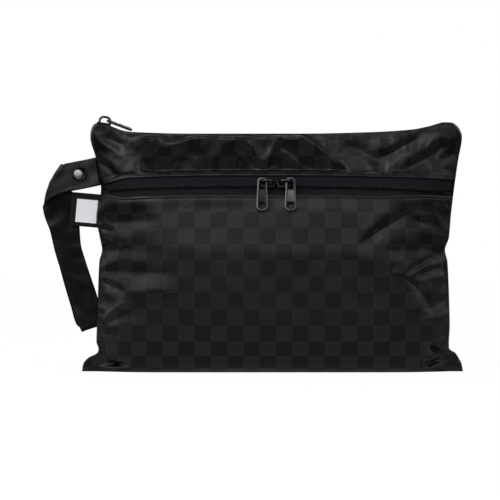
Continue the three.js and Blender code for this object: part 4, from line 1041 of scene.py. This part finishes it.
def face_points(face, sign, low, high, across, up, floor=()):
    """Rows of points of one panel in millimetres, from its lower to its upper edge."""
    rows = []
    for share in floor:
        x = between_seams(0, across)
        depth = turned_in(x, 0 * x, plain_depth(x, 0.0))
        y = middle(0) + sign * (SEAM_GAP / 2 + (depth - SEAM_GAP / 2) * share)
        rows.append(np.stack([x, y, 0 * x], 1))
    for share in up:
        x = between_seams(FIRST_HEIGHT, across)
        for _ in range(3):  # height and place across depend on each other
            z = low(x) + (high(x) - low(x)) * share
            x = between_seams(z, across)
        rise = folds(face, x, z) * smooth(seam_distance(x, z) / SEAM_FADE) * smooth(z / BASE_FADE)
        if face == "upper":
            rise += slack_rise(x, z)
        if face in HEM_FADE:
            edge = high(x) - z if face == "lower" else z - low(x)
            rise = rise * smooth((edge - HEM) / HEM_FADE[face])
            rise += HEM_RISE * np.exp(-((edge - HEM_RIDGE) / HEM_RIDGE_WIDE) ** 2)
            rise -= HEM_SINK * np.exp(-((edge - HEM) / HEM_SINK_WIDE) ** 2)
        if face in TOP_FADE:
            rise = rise * smooth((high(x) - z) / TOP_FADE[face])
        depth = plain_depth(x, z)
        rise = np.maximum(rise, -DEEPEST * (depth - WALL - GAP))
        rows.append(np.stack([x, middle(z) + sign * turned_in(x, z, depth + rise), z], 1))
    return np.array(rows)


def settle(piece, hold, slack, growth, cap, frames=14):
    """Let a panel find its own small wrinkles. Its edges are held, and where it has slack its cloth is
    larger than the place it fills, so it buckles; no point moves further than the cap, in millimetres."""
    for name, weights in (("hold", hold), ("taut", 1 - slack)):
        group = piece.vertex_groups.new(name=name)
        for i, weight in enumerate(weights.ravel().tolist()):
            group.add([i], weight, "REPLACE")
    before = vertices_of(piece)
    cloth = piece.modifiers.new("settle", "CLOTH")
    cloth.settings.quality = 6
    cloth.settings.mass = 0.02
    cloth.settings.tension_stiffness = cloth.settings.compression_stiffness = 20
    cloth.settings.shear_stiffness = 8
    cloth.settings.bending_stiffness = 3.0
    cloth.settings.air_damping = 3
    cloth.settings.vertex_group_mass = "hold"
    cloth.settings.pin_stiffness = 0.6
    cloth.settings.vertex_group_shrink = "taut"
    cloth.settings.shrink_min, cloth.settings.shrink_max = -growth, 0.0
    cloth.settings.effector_weights.gravity = 0
    cloth.collision_settings.use_collision = False
    cloth.point_cache.frame_end = frames
    for frame_number in range(1, frames + 1):
        bpy.context.scene.frame_set(frame_number)
    apply_all(piece)
    bpy.context.scene.frame_set(1)
    moved = vertices_of(piece) - before
    far = np.linalg.norm(moved, axis=1, keepdims=True)
    limit = cap * MM
    kept = before + moved * np.where(far > 0, limit * np.tanh(far / limit) / np.maximum(far, 1e-9), 1)
    piece.data.vertices.foreach_set("co", kept.ravel())
    piece.vertex_groups.clear()


def held_and_slack(points, low_edge, high_edge):
    """How firmly each point of a panel is held, and how much slack its cloth has, most at the side seams."""
    x, z = points[..., 0], points[..., 2]
    side = np.clip(edge_distance(x, z), 0, None)
    if low_edge is None:
        edges = np.minimum(z / HELD_BASE, high_edge(x) - z)
        loose = HOLD_LOOSE + (HOLD_FULL - HOLD_LOOSE) * smooth((side - HOLD_FULL_FROM) / SEAM_SLACK)
        slack = LEAST_SLACK + (1 - LEAST_SLACK) * smooth((SEAM_SLACK - side) / SEAM_SLACK)
    else:
        edges = np.minimum(z - low_edge(x), high_edge(x) - z) - HELD_HEM
        loose, slack = HOLD_LOOSE, np.ones_like(side)
    return np.where(np.minimum(side / HELD_SIDE, edges) < 1, 1.0, loose), slack


def zip_shows(x, side):
    """Width that is open above or below the front zip's middle line."""
    left, right = smooth((x - ZIP_LEFT) / ZIP_NARROW_END), smooth((x - ZIP_CHANGE_FROM) / ZIP_CHANGE_FADE)
    change = ZIP_CHANGE_ABOVE if side > 0 else ZIP_CHANGE_BELOW
    return ZIP_SHOWS - ZIP_NARROWS * (1 - left) + change * right


def lower_edge(x):
    return zip_line(x) - zip_shows(x, -1)


def upper_edge(x):
    return zip_line(x) + zip_shows(x, 1)


def floor_line(x):
    return 0 * x


ACROSS = spread([(0, 0.003), (0.12, 0.0045), (0.88, 0.0045), (1, 0.003)])
LOWER_UP = spread([(0, 0.006), (0.1, 0.009), (0.9, 0.009), (0.96, 0.004), (1, 0.0025)])
UPPER_UP = spread([(0, 0.012), (0.08, 0.014), (0.2, 0.03), (0.9, 0.03), (1, 0.014)])
BASE = np.linspace(0, 1, 9)[:-1]
lower = face_points("lower", -1, floor_line, lower_edge, ACROSS, LOWER_UP, BASE)
upper = face_points("upper", -1, upper_edge, top_edge, ACROSS, UPPER_UP)
back = face_points("back", 1, floor_line, top_edge, ACROSS[::-1], LOWER_UP, BASE)
front_pocket = grid_mesh("front_pocket", lower * MM, cloth_uv(lower * MM, *CHECK_CORNER))
front_top = grid_mesh("front_top", upper * MM, cloth_uv(upper * MM, *TOP_CHECK_CORNER))
back_cloth = grid_mesh("back_cloth", back * MM, cloth_uv(back[:, ::-1] * MM, *CHECK_CORNER)[:, ::-1])

# Panel, points, lower edge if it has one above the base, upper edge, growth of the cloth, and the cap
LOOSE_PANELS = (
    (front_pocket, lower, None, lower_edge, 0.0045, 4),
    (front_top, upper, upper_edge, top_edge, 0.0035, 3),
    (back_cloth, back, None, top_edge, 0.006, 4),
)
for piece, points, low_edge, high_edge, growth, cap in LOOSE_PANELS:
    settle(piece, *held_and_slack(points, low_edge, high_edge), growth, cap)

for piece, node, sign in ((front_pocket, "front_lower_panel", -1), (front_top, "front_upper_panel", -1),
                          (back_cloth, "back_panel", 1)):
    walled(piece, WALL)
    points = vertices_of(piece)
    seam_plane = middle(points[:, 2] / MM) * MM
    points[:, 1] = seam_plane + sign * np.maximum(sign * (points[:, 1] - seam_plane), SEAM_GAP / 2 * MM)
    piece.data.vertices.foreach_set("co", points.ravel())
    hand_over(piece, piece.name, cloth_finish, [node], angle=75)

# Front zip
tape_upper = front_tape("front_tape_upper", "front_zip_tape_upper", 1)
tape_lower = front_tape("front_tape_lower", "front_zip_tape_lower", -1)
turn = coil_turn()
for name, start, end in (("left", ZIP_LEFT + CHAIN_END, CHAIN_PARTS[0]),
                         ("right", CHAIN_PARTS[1], ZIP_RIGHT - CHAIN_END)):
    x = np.linspace(start, end, CHAIN_POINTS)
    zip_chain(f"front_coil_{name}", f"front_zip_chain_{name}", *surface(x, zip_line(x), TAPE_INSET), turn)

pivots = {joint["name"]: Vector(joint["pos_m"]) / MM for joint in frame["joints"]}
tilt = math.radians(FRONT_TILT)
out, up = Vector((0, -math.cos(tilt), math.sin(tilt))), Vector((0, math.sin(tilt), math.cos(tilt)))
slider = slider_shape()
# The pulls are alike: the left one's grip floor is painted dark as shade, the right one's is left bright as a
# painted highlight
pulls = {"left": pull_shape(PULL_TIP), "right": pull_shape(PULL_TIP, painted_shade_on_grip=False)}
for name, way in (("left", 1), ("right", -1)):
    along = Vector((way, 0, 0))
    pivot = pivots[f"front_pull_{name}_swing"]
    seat = Matrix((along, up * way, out)).transposed().to_4x4()
    seat.translation = pivot - BAIL_TAIL * along - PULL_HANG * out
    hand_over(put(slider, seat), f"front_slide_{name}", zinc_finish, [f"front_slider_{name}"])
    hang = Matrix.Translation(pivot) @ turned(90 - FRONT_TILT + PULL_LEAN, "X")
    hand_over(put(pulls[name], hang), f"front_tongue_{name}", zinc_finish, [f"front_pull_{name}"],
              f"{name}_pull")


# Main zip along the top edge
def main_tape(name, node, sign):
    x = np.linspace(MAIN_LEFT, MAIN_RIGHT, TAPE_COLUMNS)
    recessed = top_edge(x) - MAIN_RECESS
    least = TAPE_SPLIT + 2 * TAPE_THICK
    lip = np.maximum(plain_depth(x, top_edge(x)) - WALL - GAP, least)
    foot = np.maximum(plain_depth(x, recessed - MAIN_FLANGE) - TAPE_INSET - 3 * GAP, least)
    rows = [(TAPE_SPLIT + (lip - MAIN_BEND - TAPE_SPLIT) * share, 0 * x) for share in MAIN_ROWS]
    rows += [(lip + (foot - lip) * share, -MAIN_FLANGE * share) for share in MAIN_FLANGE_ROWS]
    points = np.array([np.stack([x, sign * over, recessed + drop], 1) for over, drop in rows])
    uv = np.stack([np.tile(x, (len(rows), 1)), np.array([over - drop for over, drop in rows])], -1) * MM
    if sign < 0:
        points, uv = points[::-1], uv[::-1]
    piece = grid_mesh(name, points * MM, uv)
    walled(piece, TAPE_THICK)
    return hand_over(piece, name, tape_finish, [node])


tape_front = main_tape("main_tape_front", "main_zip_tape_front", -1)
tape_back = main_tape("main_tape_back", "main_zip_tape_back", 1)
x = np.linspace(MAIN_CHAIN_LEFT, MAIN_RIGHT, CHAIN_POINTS)
line = np.stack([x, 0 * x, top_edge(x) - MAIN_RECESS], 1)
zip_chain("main_coil", "main_zip_chain", line, np.tile([0.0, 0.0, 1.0], (len(x), 1)), turn)
seat = Matrix.Translation((MAIN_AT, 0, float(top_edge(MAIN_AT)) - MAIN_RECESS))
seat = seat @ turned(MAIN_SLOPE, "Y") @ turned(180, "Z")
hand_over(put(slider, seat), "main_slide", zinc_finish, ["main_slider"])
main_tongue = pull_shape(MAIN_TIP)
hang = Matrix.Translation(pivots["main_pull_lift"]) @ turned(MAIN_PULL_SLOPE, "Y") @ turned(90, "Z")
hang = hang @ turned(MAIN_PULL_ROLL, "Y") @ Matrix.Translation((0, -EYE_BAR, 0))
hand_over(put(main_tongue, hang), "main_tongue", zinc_finish, ["main_pull"], "top_pull")
for prototype in (slider, *pulls.values(), main_tongue, turn):
    bpy.data.objects.remove(prototype)


# Wrist strap: one flat band, sewn in the seam, folded over a slant line, turned below and snapped back
fold_line = np.subtract(STRAP_TOP[-1][2:4], STRAP_TOP[-1][:2])
off_fold = np.array([fold_line[1], -fold_line[0]]) / np.hypot(*fold_line)


def strap_stops():
    """Both edges of the band at each stop along it, as rows of six numbers in millimetres."""
    bottom, first, last = STRAP_HANG[-1], STRAP_HANG[0], STRAP_TOP[-1]

    def stop(row, depth, shift=(0, 0), more=0):
        past_seam = np.clip((STRAP_TOP[2][0] - row[0]) / STRAP_LEAN_FADE, 0, 1)
        lean = STRAP_LEAN * past_seam * np.clip((row[1] - STRAP_LEAN_FROM) / STRAP_LEAN_RISE, 0, 1)
        lean += more
        return np.array([row[0] + shift[0], depth + lean, row[1] + shift[1],
                         row[2] + shift[0], depth - lean, row[3] + shift[1]])

    def fold_over(start, end):
        made = []
        for a in np.radians([30, 60, 90, 120, 150]):
            depth = (start + end) / 2 - (end - start) / 2 * math.cos(a)
            made.append(stop(last, depth, off_fold * STRAP_BULGE * math.sin(a)))
        return made

    around = []
    for a in np.radians([-60, -20, 20, 60]):
        depth = (bottom[4] + bottom[5]) / 2 + (bottom[5] - bottom[4]) / 2 * math.sin(a)
        around.append(stop(bottom, depth, (STRAP_TURN_SHIFT * math.cos(a), -STRAP_TURN_DROP * math.cos(a))))
    returning = [stop(row, row[5], (RETURN_SHIFT * i / len(STRAP_HANG), 0))
                 for i, row in enumerate(STRAP_HANG)]
    back = [stop(row, row[5], more=more) for row, more in zip(STRAP_TOP[2:], STRAP_END_LEANS)]
    end = stop(STRAP_LAST, STRAP_TOP[2][5], more=STRAP_END_LEANS[0])
    return np.array([
        *[stop(row, row[4]) for row in STRAP_TOP], *fold_over(last[4], first[4]),
        *[stop(row, row[4]) for row in STRAP_HANG], *around, *returning[::-1],
        *fold_over(last[5], first[5])[::-1], *back[::-1], end])


def strap_pieces():
    """The band, and the lines of its stitches with the ways out of the cloth there."""
    stops = strap_stops()
    way = distances((stops[:, :3] + stops[:, 3:]) / 2)
    at = np.linspace(0, way[-1], round(way[-1] / STRAP_STEP) + 1)
    rows = np.c_[way, stops]
    edges = np.stack([through(rows, k)(at) for k in range(1, 7)], 1)
    share = (STRAP_COLUMNS + 1) / 2
    band = edges[:, None, :3] + (edges[:, None, 3:] - edges[:, None, :3]) * share[None, :, None]
    mid_way = (edges[:, :3] + edges[:, 3:]) / 2

    # The fold bows outwards in the middle of the band
    from_fold = (mid_way[:, ::2] - np.add(STRAP_TOP[-1][:2], STRAP_TOP[-1][2:4]) / 2) @ off_fold
    bow = STRAP_BOW * smooth(1 - np.abs(from_fold) / STRAP_BOW_NEAR)[:, None] * (1 - STRAP_COLUMNS ** 2)
    band += bow[..., None] * np.array([off_fold[0], 0, off_fold[1]])

    # Soft waves, fewer round the snap and none where the strap is sewn in
    facing = np.cross(np.gradient(mid_way, axis=0), edges[:, 3:] - edges[:, :3])
    facing /= np.linalg.norm(facing, axis=1, keepdims=True)
    waves = [[noise.noise((a / STRAP_WAVE_LENGTH, STRAP_WAVE_ACROSS * c, STRAP_WAVE_LAYER))
              for c in STRAP_COLUMNS] for a in at]
    from_snap = np.hypot(band[..., 0] - SNAP[0], band[..., 2] - SNAP[1])
    calm = STRAP_CALM + (1 - STRAP_CALM) * smooth((from_snap - SNAP_CALM) / SNAP_CALM_FADE)
    begins = smooth(at / STRAP_WAVES_FROM)[:, None]
    band += facing[:, None] * (STRAP_WAVE * calm * begins * np.array(waves))[..., None]

    # Round edges, dips under the stitches, and a thicker hem at the end
    past_rim = ((np.abs(STRAP_COLUMNS) - STRAP_RIM) / (1 - STRAP_RIM)).clip(0)
    rim = np.sqrt(np.clip(1 - past_rim ** 2, 0, 1))
    dip = STRAP_DIP * np.exp(-((np.abs(STRAP_COLUMNS) - STRAP_DIP_AT) / STRAP_DIP_WIDE) ** 2)
    hem = 1 + STRAP_END_MORE * smooth((at - way[-1] + STRAP_END) / STRAP_END_FADE)
    half = hem[:, None] * (STRAP_THICK / 2 * (STRAP_EDGE + (1 - STRAP_EDGE) * rim) - dip)[None, :]
    top, under = band + facing[:, None] * half[..., None], band - facing[:, None] * half[..., None]
    ring = np.concatenate([top, under[:, ::-1]], axis=1)

    # Quads round the band and over both of its ends
    count, around = ring.shape[:2]
    index = np.arange(count * around).reshape(count, around)
    after = np.roll(index, -1, axis=1)
    quads = np.stack([index[:-1], index[1:], after[1:], after[:-1]], -1).reshape(-1, 4).tolist()
    for k in range(around // 2 - 1):
        quads.append([index[0, k], index[0, k + 1], index[0, around - 2 - k], index[0, around - 1 - k]])
        quads.append([index[-1, k + 1], index[-1, k], index[-1, around - 1 - k], index[-1, around - 2 - k]])
    wide = np.linalg.norm(edges[:, 3:] - edges[:, :3], axis=1)
    v = share[None, :] * np.minimum(wide, STRAP_WIDTH)[:, None]
    uv = np.stack([np.repeat(at[:, None], around, 1), np.concatenate([v, v[:, ::-1]], 1)], -1) * MM
    strap = from_arrays("strap_band", ring.reshape(-1, 3) * MM, quads, uv.reshape(-1, 2))
    hand_over(strap, "strap_band", strap_finish, ["wrist_strap"], angle=50)

    # Two rows of stitches across the end and one along each edge, on both faces
    lines = []
    for back_from_end in STRAP_END_ROWS:
        i = np.searchsorted(at, way[-1] - back_from_end)
        row = read_at(STRAP_ROW, share, band[i])
        for face in (-1, 1):
            ways = np.tile(face * facing[i], (len(row), 1))
            lines.append((row + face * facing[i] * (half[i].max() - IN_HEM), ways))
    for column in (STITCHED_COLUMN, -1 - STITCHED_COLUMN):
        for face in (-1, 1):
            lines.append((band[:, column] + face * facing * (STRAP_THICK / 2 - IN_BAND), face * facing))
    return strap, lines


strap, strap_rows = strap_pieces()
stitch = stitch_shape(STITCH_LENGTH, STITCH_THICK)
strap_stitches = sew("strap_stitches", strap_rows, stitch)


# Side label: a strip folded at its free edge, both layers sewn in the left seam
def label_strip():
    width, height = LABEL[1] - LABEL[0], LABEL[3] - LABEL[2]
    shares = np.linspace(0, 1, LABEL_STEPS)
    run = [(width * (1 - s), -LABEL_BEND) for s in shares[:-1]]
    for a in np.linspace(-math.pi / 2, math.pi / 2, LABEL_FOLD_STEPS):
        run.append((-LABEL_BEND * math.cos(a), LABEL_BEND * math.sin(a)))
    run += [(width * s, LABEL_BEND) for s in shares[1:]]
    along, depth = np.array(run).T
    way = distances(np.array(run))
    up = np.linspace(0, height, LABEL_STEPS)[:, None]
    lean = math.radians(LABEL_TILT)
    x = LABEL[0] + along * math.cos(lean) - up * math.sin(lean)
    z = LABEL[2] + along * math.sin(lean) + up * math.cos(lean)
    points = np.stack(np.broadcast_arrays(x, depth, z), -1)
    uv = np.stack(np.broadcast_arrays(np.minimum(way, way[-1] - way), up), -1)
    piece = grid_mesh("label_strip", points[:, ::-1] * MM, uv[:, ::-1] * MM)
    walled(piece, LABEL_THICK, offset=0)
    return hand_over(piece, "label_strip", label_finish, ["side_label"], angle=60)


label = label_strip()


# Snap: a dark pressed rim with a bright domed cap, the joined halves between the layers, and the back cap;
# the rim, painted dark all over and set right of the dome, shows as a crescent that is partly rim and partly
# painted shadow
def disc(radius, thick, rises, dark):
    """A round pressed piece facing +z: a circle drawn up to its thickness, then in steps over its top."""
    made = begin(bpy.ops.mesh.primitive_circle_add, vertices=40, radius=radius, fill_type="NGON")
    open_all("FACE")
    bpy.ops.mesh.extrude_region_move(TRANSFORM_OT_translate={"value": (0, 0, thick)})
    for inward, rise in rises:
        bpy.ops.mesh.inset(thickness=inward, depth=0)
        bpy.ops.transform.translate(value=(0, 0, rise))
    bpy.ops.mesh.select_all(action="SELECT")
    bpy.ops.mesh.normals_make_consistent(inside=False)
    close_edit()
    soften(made, width=0.12, angle=50)
    grain_uv(made, lambda at, _: dark)
    return made


# Piece, radius, thickness, steps in and up over its top, place across and in depth, turn, finish, slot, node
to_front = turned(90, "X")
back_over = turned(-SNAP_BACK, "X") @ to_front
to_left = turned(-DOME_LEFT, "Z") @ back_over
SNAP_PIECES = (
    # The rim is painted dark and set right of the dome, partly as a rim and partly as a painted shadow
    # crescent
    ("snap_rim", 6.6, 0.35, [(0.4, 0.25), (0.9, 0.1), (0.5, -0.3)], 0.4, -3.55, back_over,
     zinc_finish, "metal", "snap_cap"),
    ("snap_dome", 4.3, 0.3, [(0.35, 0.45), (0.7, 0.4), (0.9, 0.22), (1.0, 0.1)], -1.2, -4.05, to_left,
     cap_finish, "cap", "snap_cap"),
    ("snap_halves", 3.8, 2.0, [(0.3, 0.1), (1.0, 0.0)], 0, 0.6, to_front, zinc_finish, "metal", "snap_joint"),
    ("snap_back_cap", 5.5, 0.5, [(0.5, 0.25), (1.2, 0.12), (1.0, -0.1)], 0, 2.7, turned(-90, "X"),
     zinc_finish, "metal", "snap_back"),
)
for name, radius, thick, rises, across, depth, way, finish, slot, node in SNAP_PIECES:
    shape = disc(radius, thick, rises, dark=name == "snap_rim")
    place = Matrix.Translation((SNAP[0], 0, SNAP[1])) @ Matrix.Translation((across, depth, 0)) @ way
    hand_over(put(shape, place), name, finish, [node])
    bpy.data.objects.remove(shape)


# Stitches beside the front zip and along the top edges, laid on the finished cloth
def laid_on(piece, points, outs):
    """Points moved along the ways out on to a piece's surface."""
    tree = BVHTree.FromObject(piece, bpy.context.evaluated_depsgraph_get())
    made, ways = [], []
    for point, out in zip(points, outs):
        start, way = Vector((point + LAID_FROM * out) * MM), Vector(-out)
        hit, normal, _, _ = tree.ray_cast(start, way)
        if hit is not None:
            made.append(np.array(hit) / MM)
            ways.append(np.array(normal))
    return np.array(made), np.array(ways)


x = np.linspace(*ZIP_STITCHED, STITCH_POINTS)
zip_rows = []
for piece, side in ((front_pocket, -1), (front_top, 1)):
    zip_rows.append(laid_on(piece, *surface(x, zip_line(x) + side * (zip_shows(x, side) + HEM))))
zip_stitches = sew("zip_stitches", zip_rows, stitch)
x = np.linspace(*TOP_STITCHED, STITCH_POINTS)
top_rows = []
for piece, sign in ((front_top, -1), (back_cloth, 1)):
    points = np.stack([x, sign * plain_depth(x, top_edge(x) - TOP_STITCH), top_edge(x) - TOP_STITCH], 1)
    top_rows.append(laid_on(piece, points, np.tile([0.0, sign, 0.0], (len(x), 1))))
top_stitches = sew("top_stitches", top_rows, stitch)
bpy.data.objects.remove(stitch)

# Pale floor, white surroundings and soft light
floor_mesh = bpy.data.meshes.new("floor")
floor_mesh.from_pydata([(-6, -6, 0), (6, -6, 0), (6, 6, 0), (-6, 6, 0)], [], [(0, 1, 2, 3)])
floor = bpy.data.objects.new("floor", floor_mesh)
bpy.context.scene.collection.objects.link(floor)
white, tree, shader = material("white_floor", Roughness=0.9, Specular_IOR_Level=0.0,
                               Base_Color=linear("#494949"), Emission_Color=linear("#ffffff"))
shown = add(tree, "ShaderNodeLightPath", out="Is Camera Ray")
away = add(tree, "ShaderNodeVectorMath", {0: add(tree, "ShaderNodeTexCoord", out="Object")}, "Value",
           operation="LENGTH")
pool = add(tree, "ShaderNodeMapRange", {
    "Value": away, "From Min": 0.25, "From Max": 0.5, "To Min": 0.385, "To Max": 0.0}, "Result",
    interpolation_type="SMOOTHSTEP")
lit = add(tree, "ShaderNodeMix", {"Factor": shown, "A": pool, "B": 0.94}, "Result")
tree.links.new(lit, shader.inputs["Emission Strength"])
floor_mesh.materials.append(white)

world = bpy.data.worlds.new("studio")
bpy.context.scene.world = world
world.use_nodes = True
tree = world.node_tree
seen = add(tree, "ShaderNodeLightPath", out="Is Camera Ray")
way = add(tree, "ShaderNodeSeparateXYZ", {"Vector": add(tree, "ShaderNodeTexCoord", out="Generated")})
raised = add(tree, "ShaderNodeMapRange", {
    "Value": way.outputs["Z"], "From Min": 0.0, "From Max": 0.18, "To Min": 0.21, "To Max": 1.19}, "Result",
    interpolation_type="SMOOTHSTEP")
from_left = add(tree, "ShaderNodeMapRange", {
    "Value": way.outputs["X"], "From Min": -0.6, "From Max": 0.6, "To Min": 1.1, "To Max": 0.85}, "Result")
overhead = add(tree, "ShaderNodeMapRange", {
    "Value": way.outputs["Z"], "From Min": 0.6, "From Max": 0.9, "To Min": 1.0, "To Max": 0.25}, "Result",
    interpolation_type="SMOOTHSTEP")
studio = add(tree, "ShaderNodeMath", {0: raised, 1: from_left}, "Value", operation="MULTIPLY")
studio = add(tree, "ShaderNodeMath", {0: studio, 1: overhead}, "Value", operation="MULTIPLY")
glow = add(tree, "ShaderNodeMix", {"Factor": seen, "A": studio, "B": (1, 1, 1, 1)}, "Result",
           data_type="RGBA")
tree.links.new(glow, tree.nodes["Background"].inputs["Color"])


def soft_light(name, place, size, power):
    made = bpy.data.objects.new(name, bpy.data.lights.new(name, "AREA"))
    made.data.shape = "RECTANGLE"
    made.data.size, made.data.size_y = size
    made.data.energy = power
    made.location = place
    made.rotation_euler = (Vector(LIGHTS_AIM) - Vector(place)).to_track_quat("-Z", "Y").to_euler()
    bpy.context.scene.collection.objects.link(made)


LIGHTS_AIM = (0, 0, 0.1)
soft_light("key_light", (-0.9, -0.9, 1.5), size=(1.0, 0.7), power=5.25)
soft_light("front_light", (-0.7, -1.5, 1.2), size=(1.4, 0.6), power=7)
bpy.context.scene.view_settings.view_transform = "Standard"
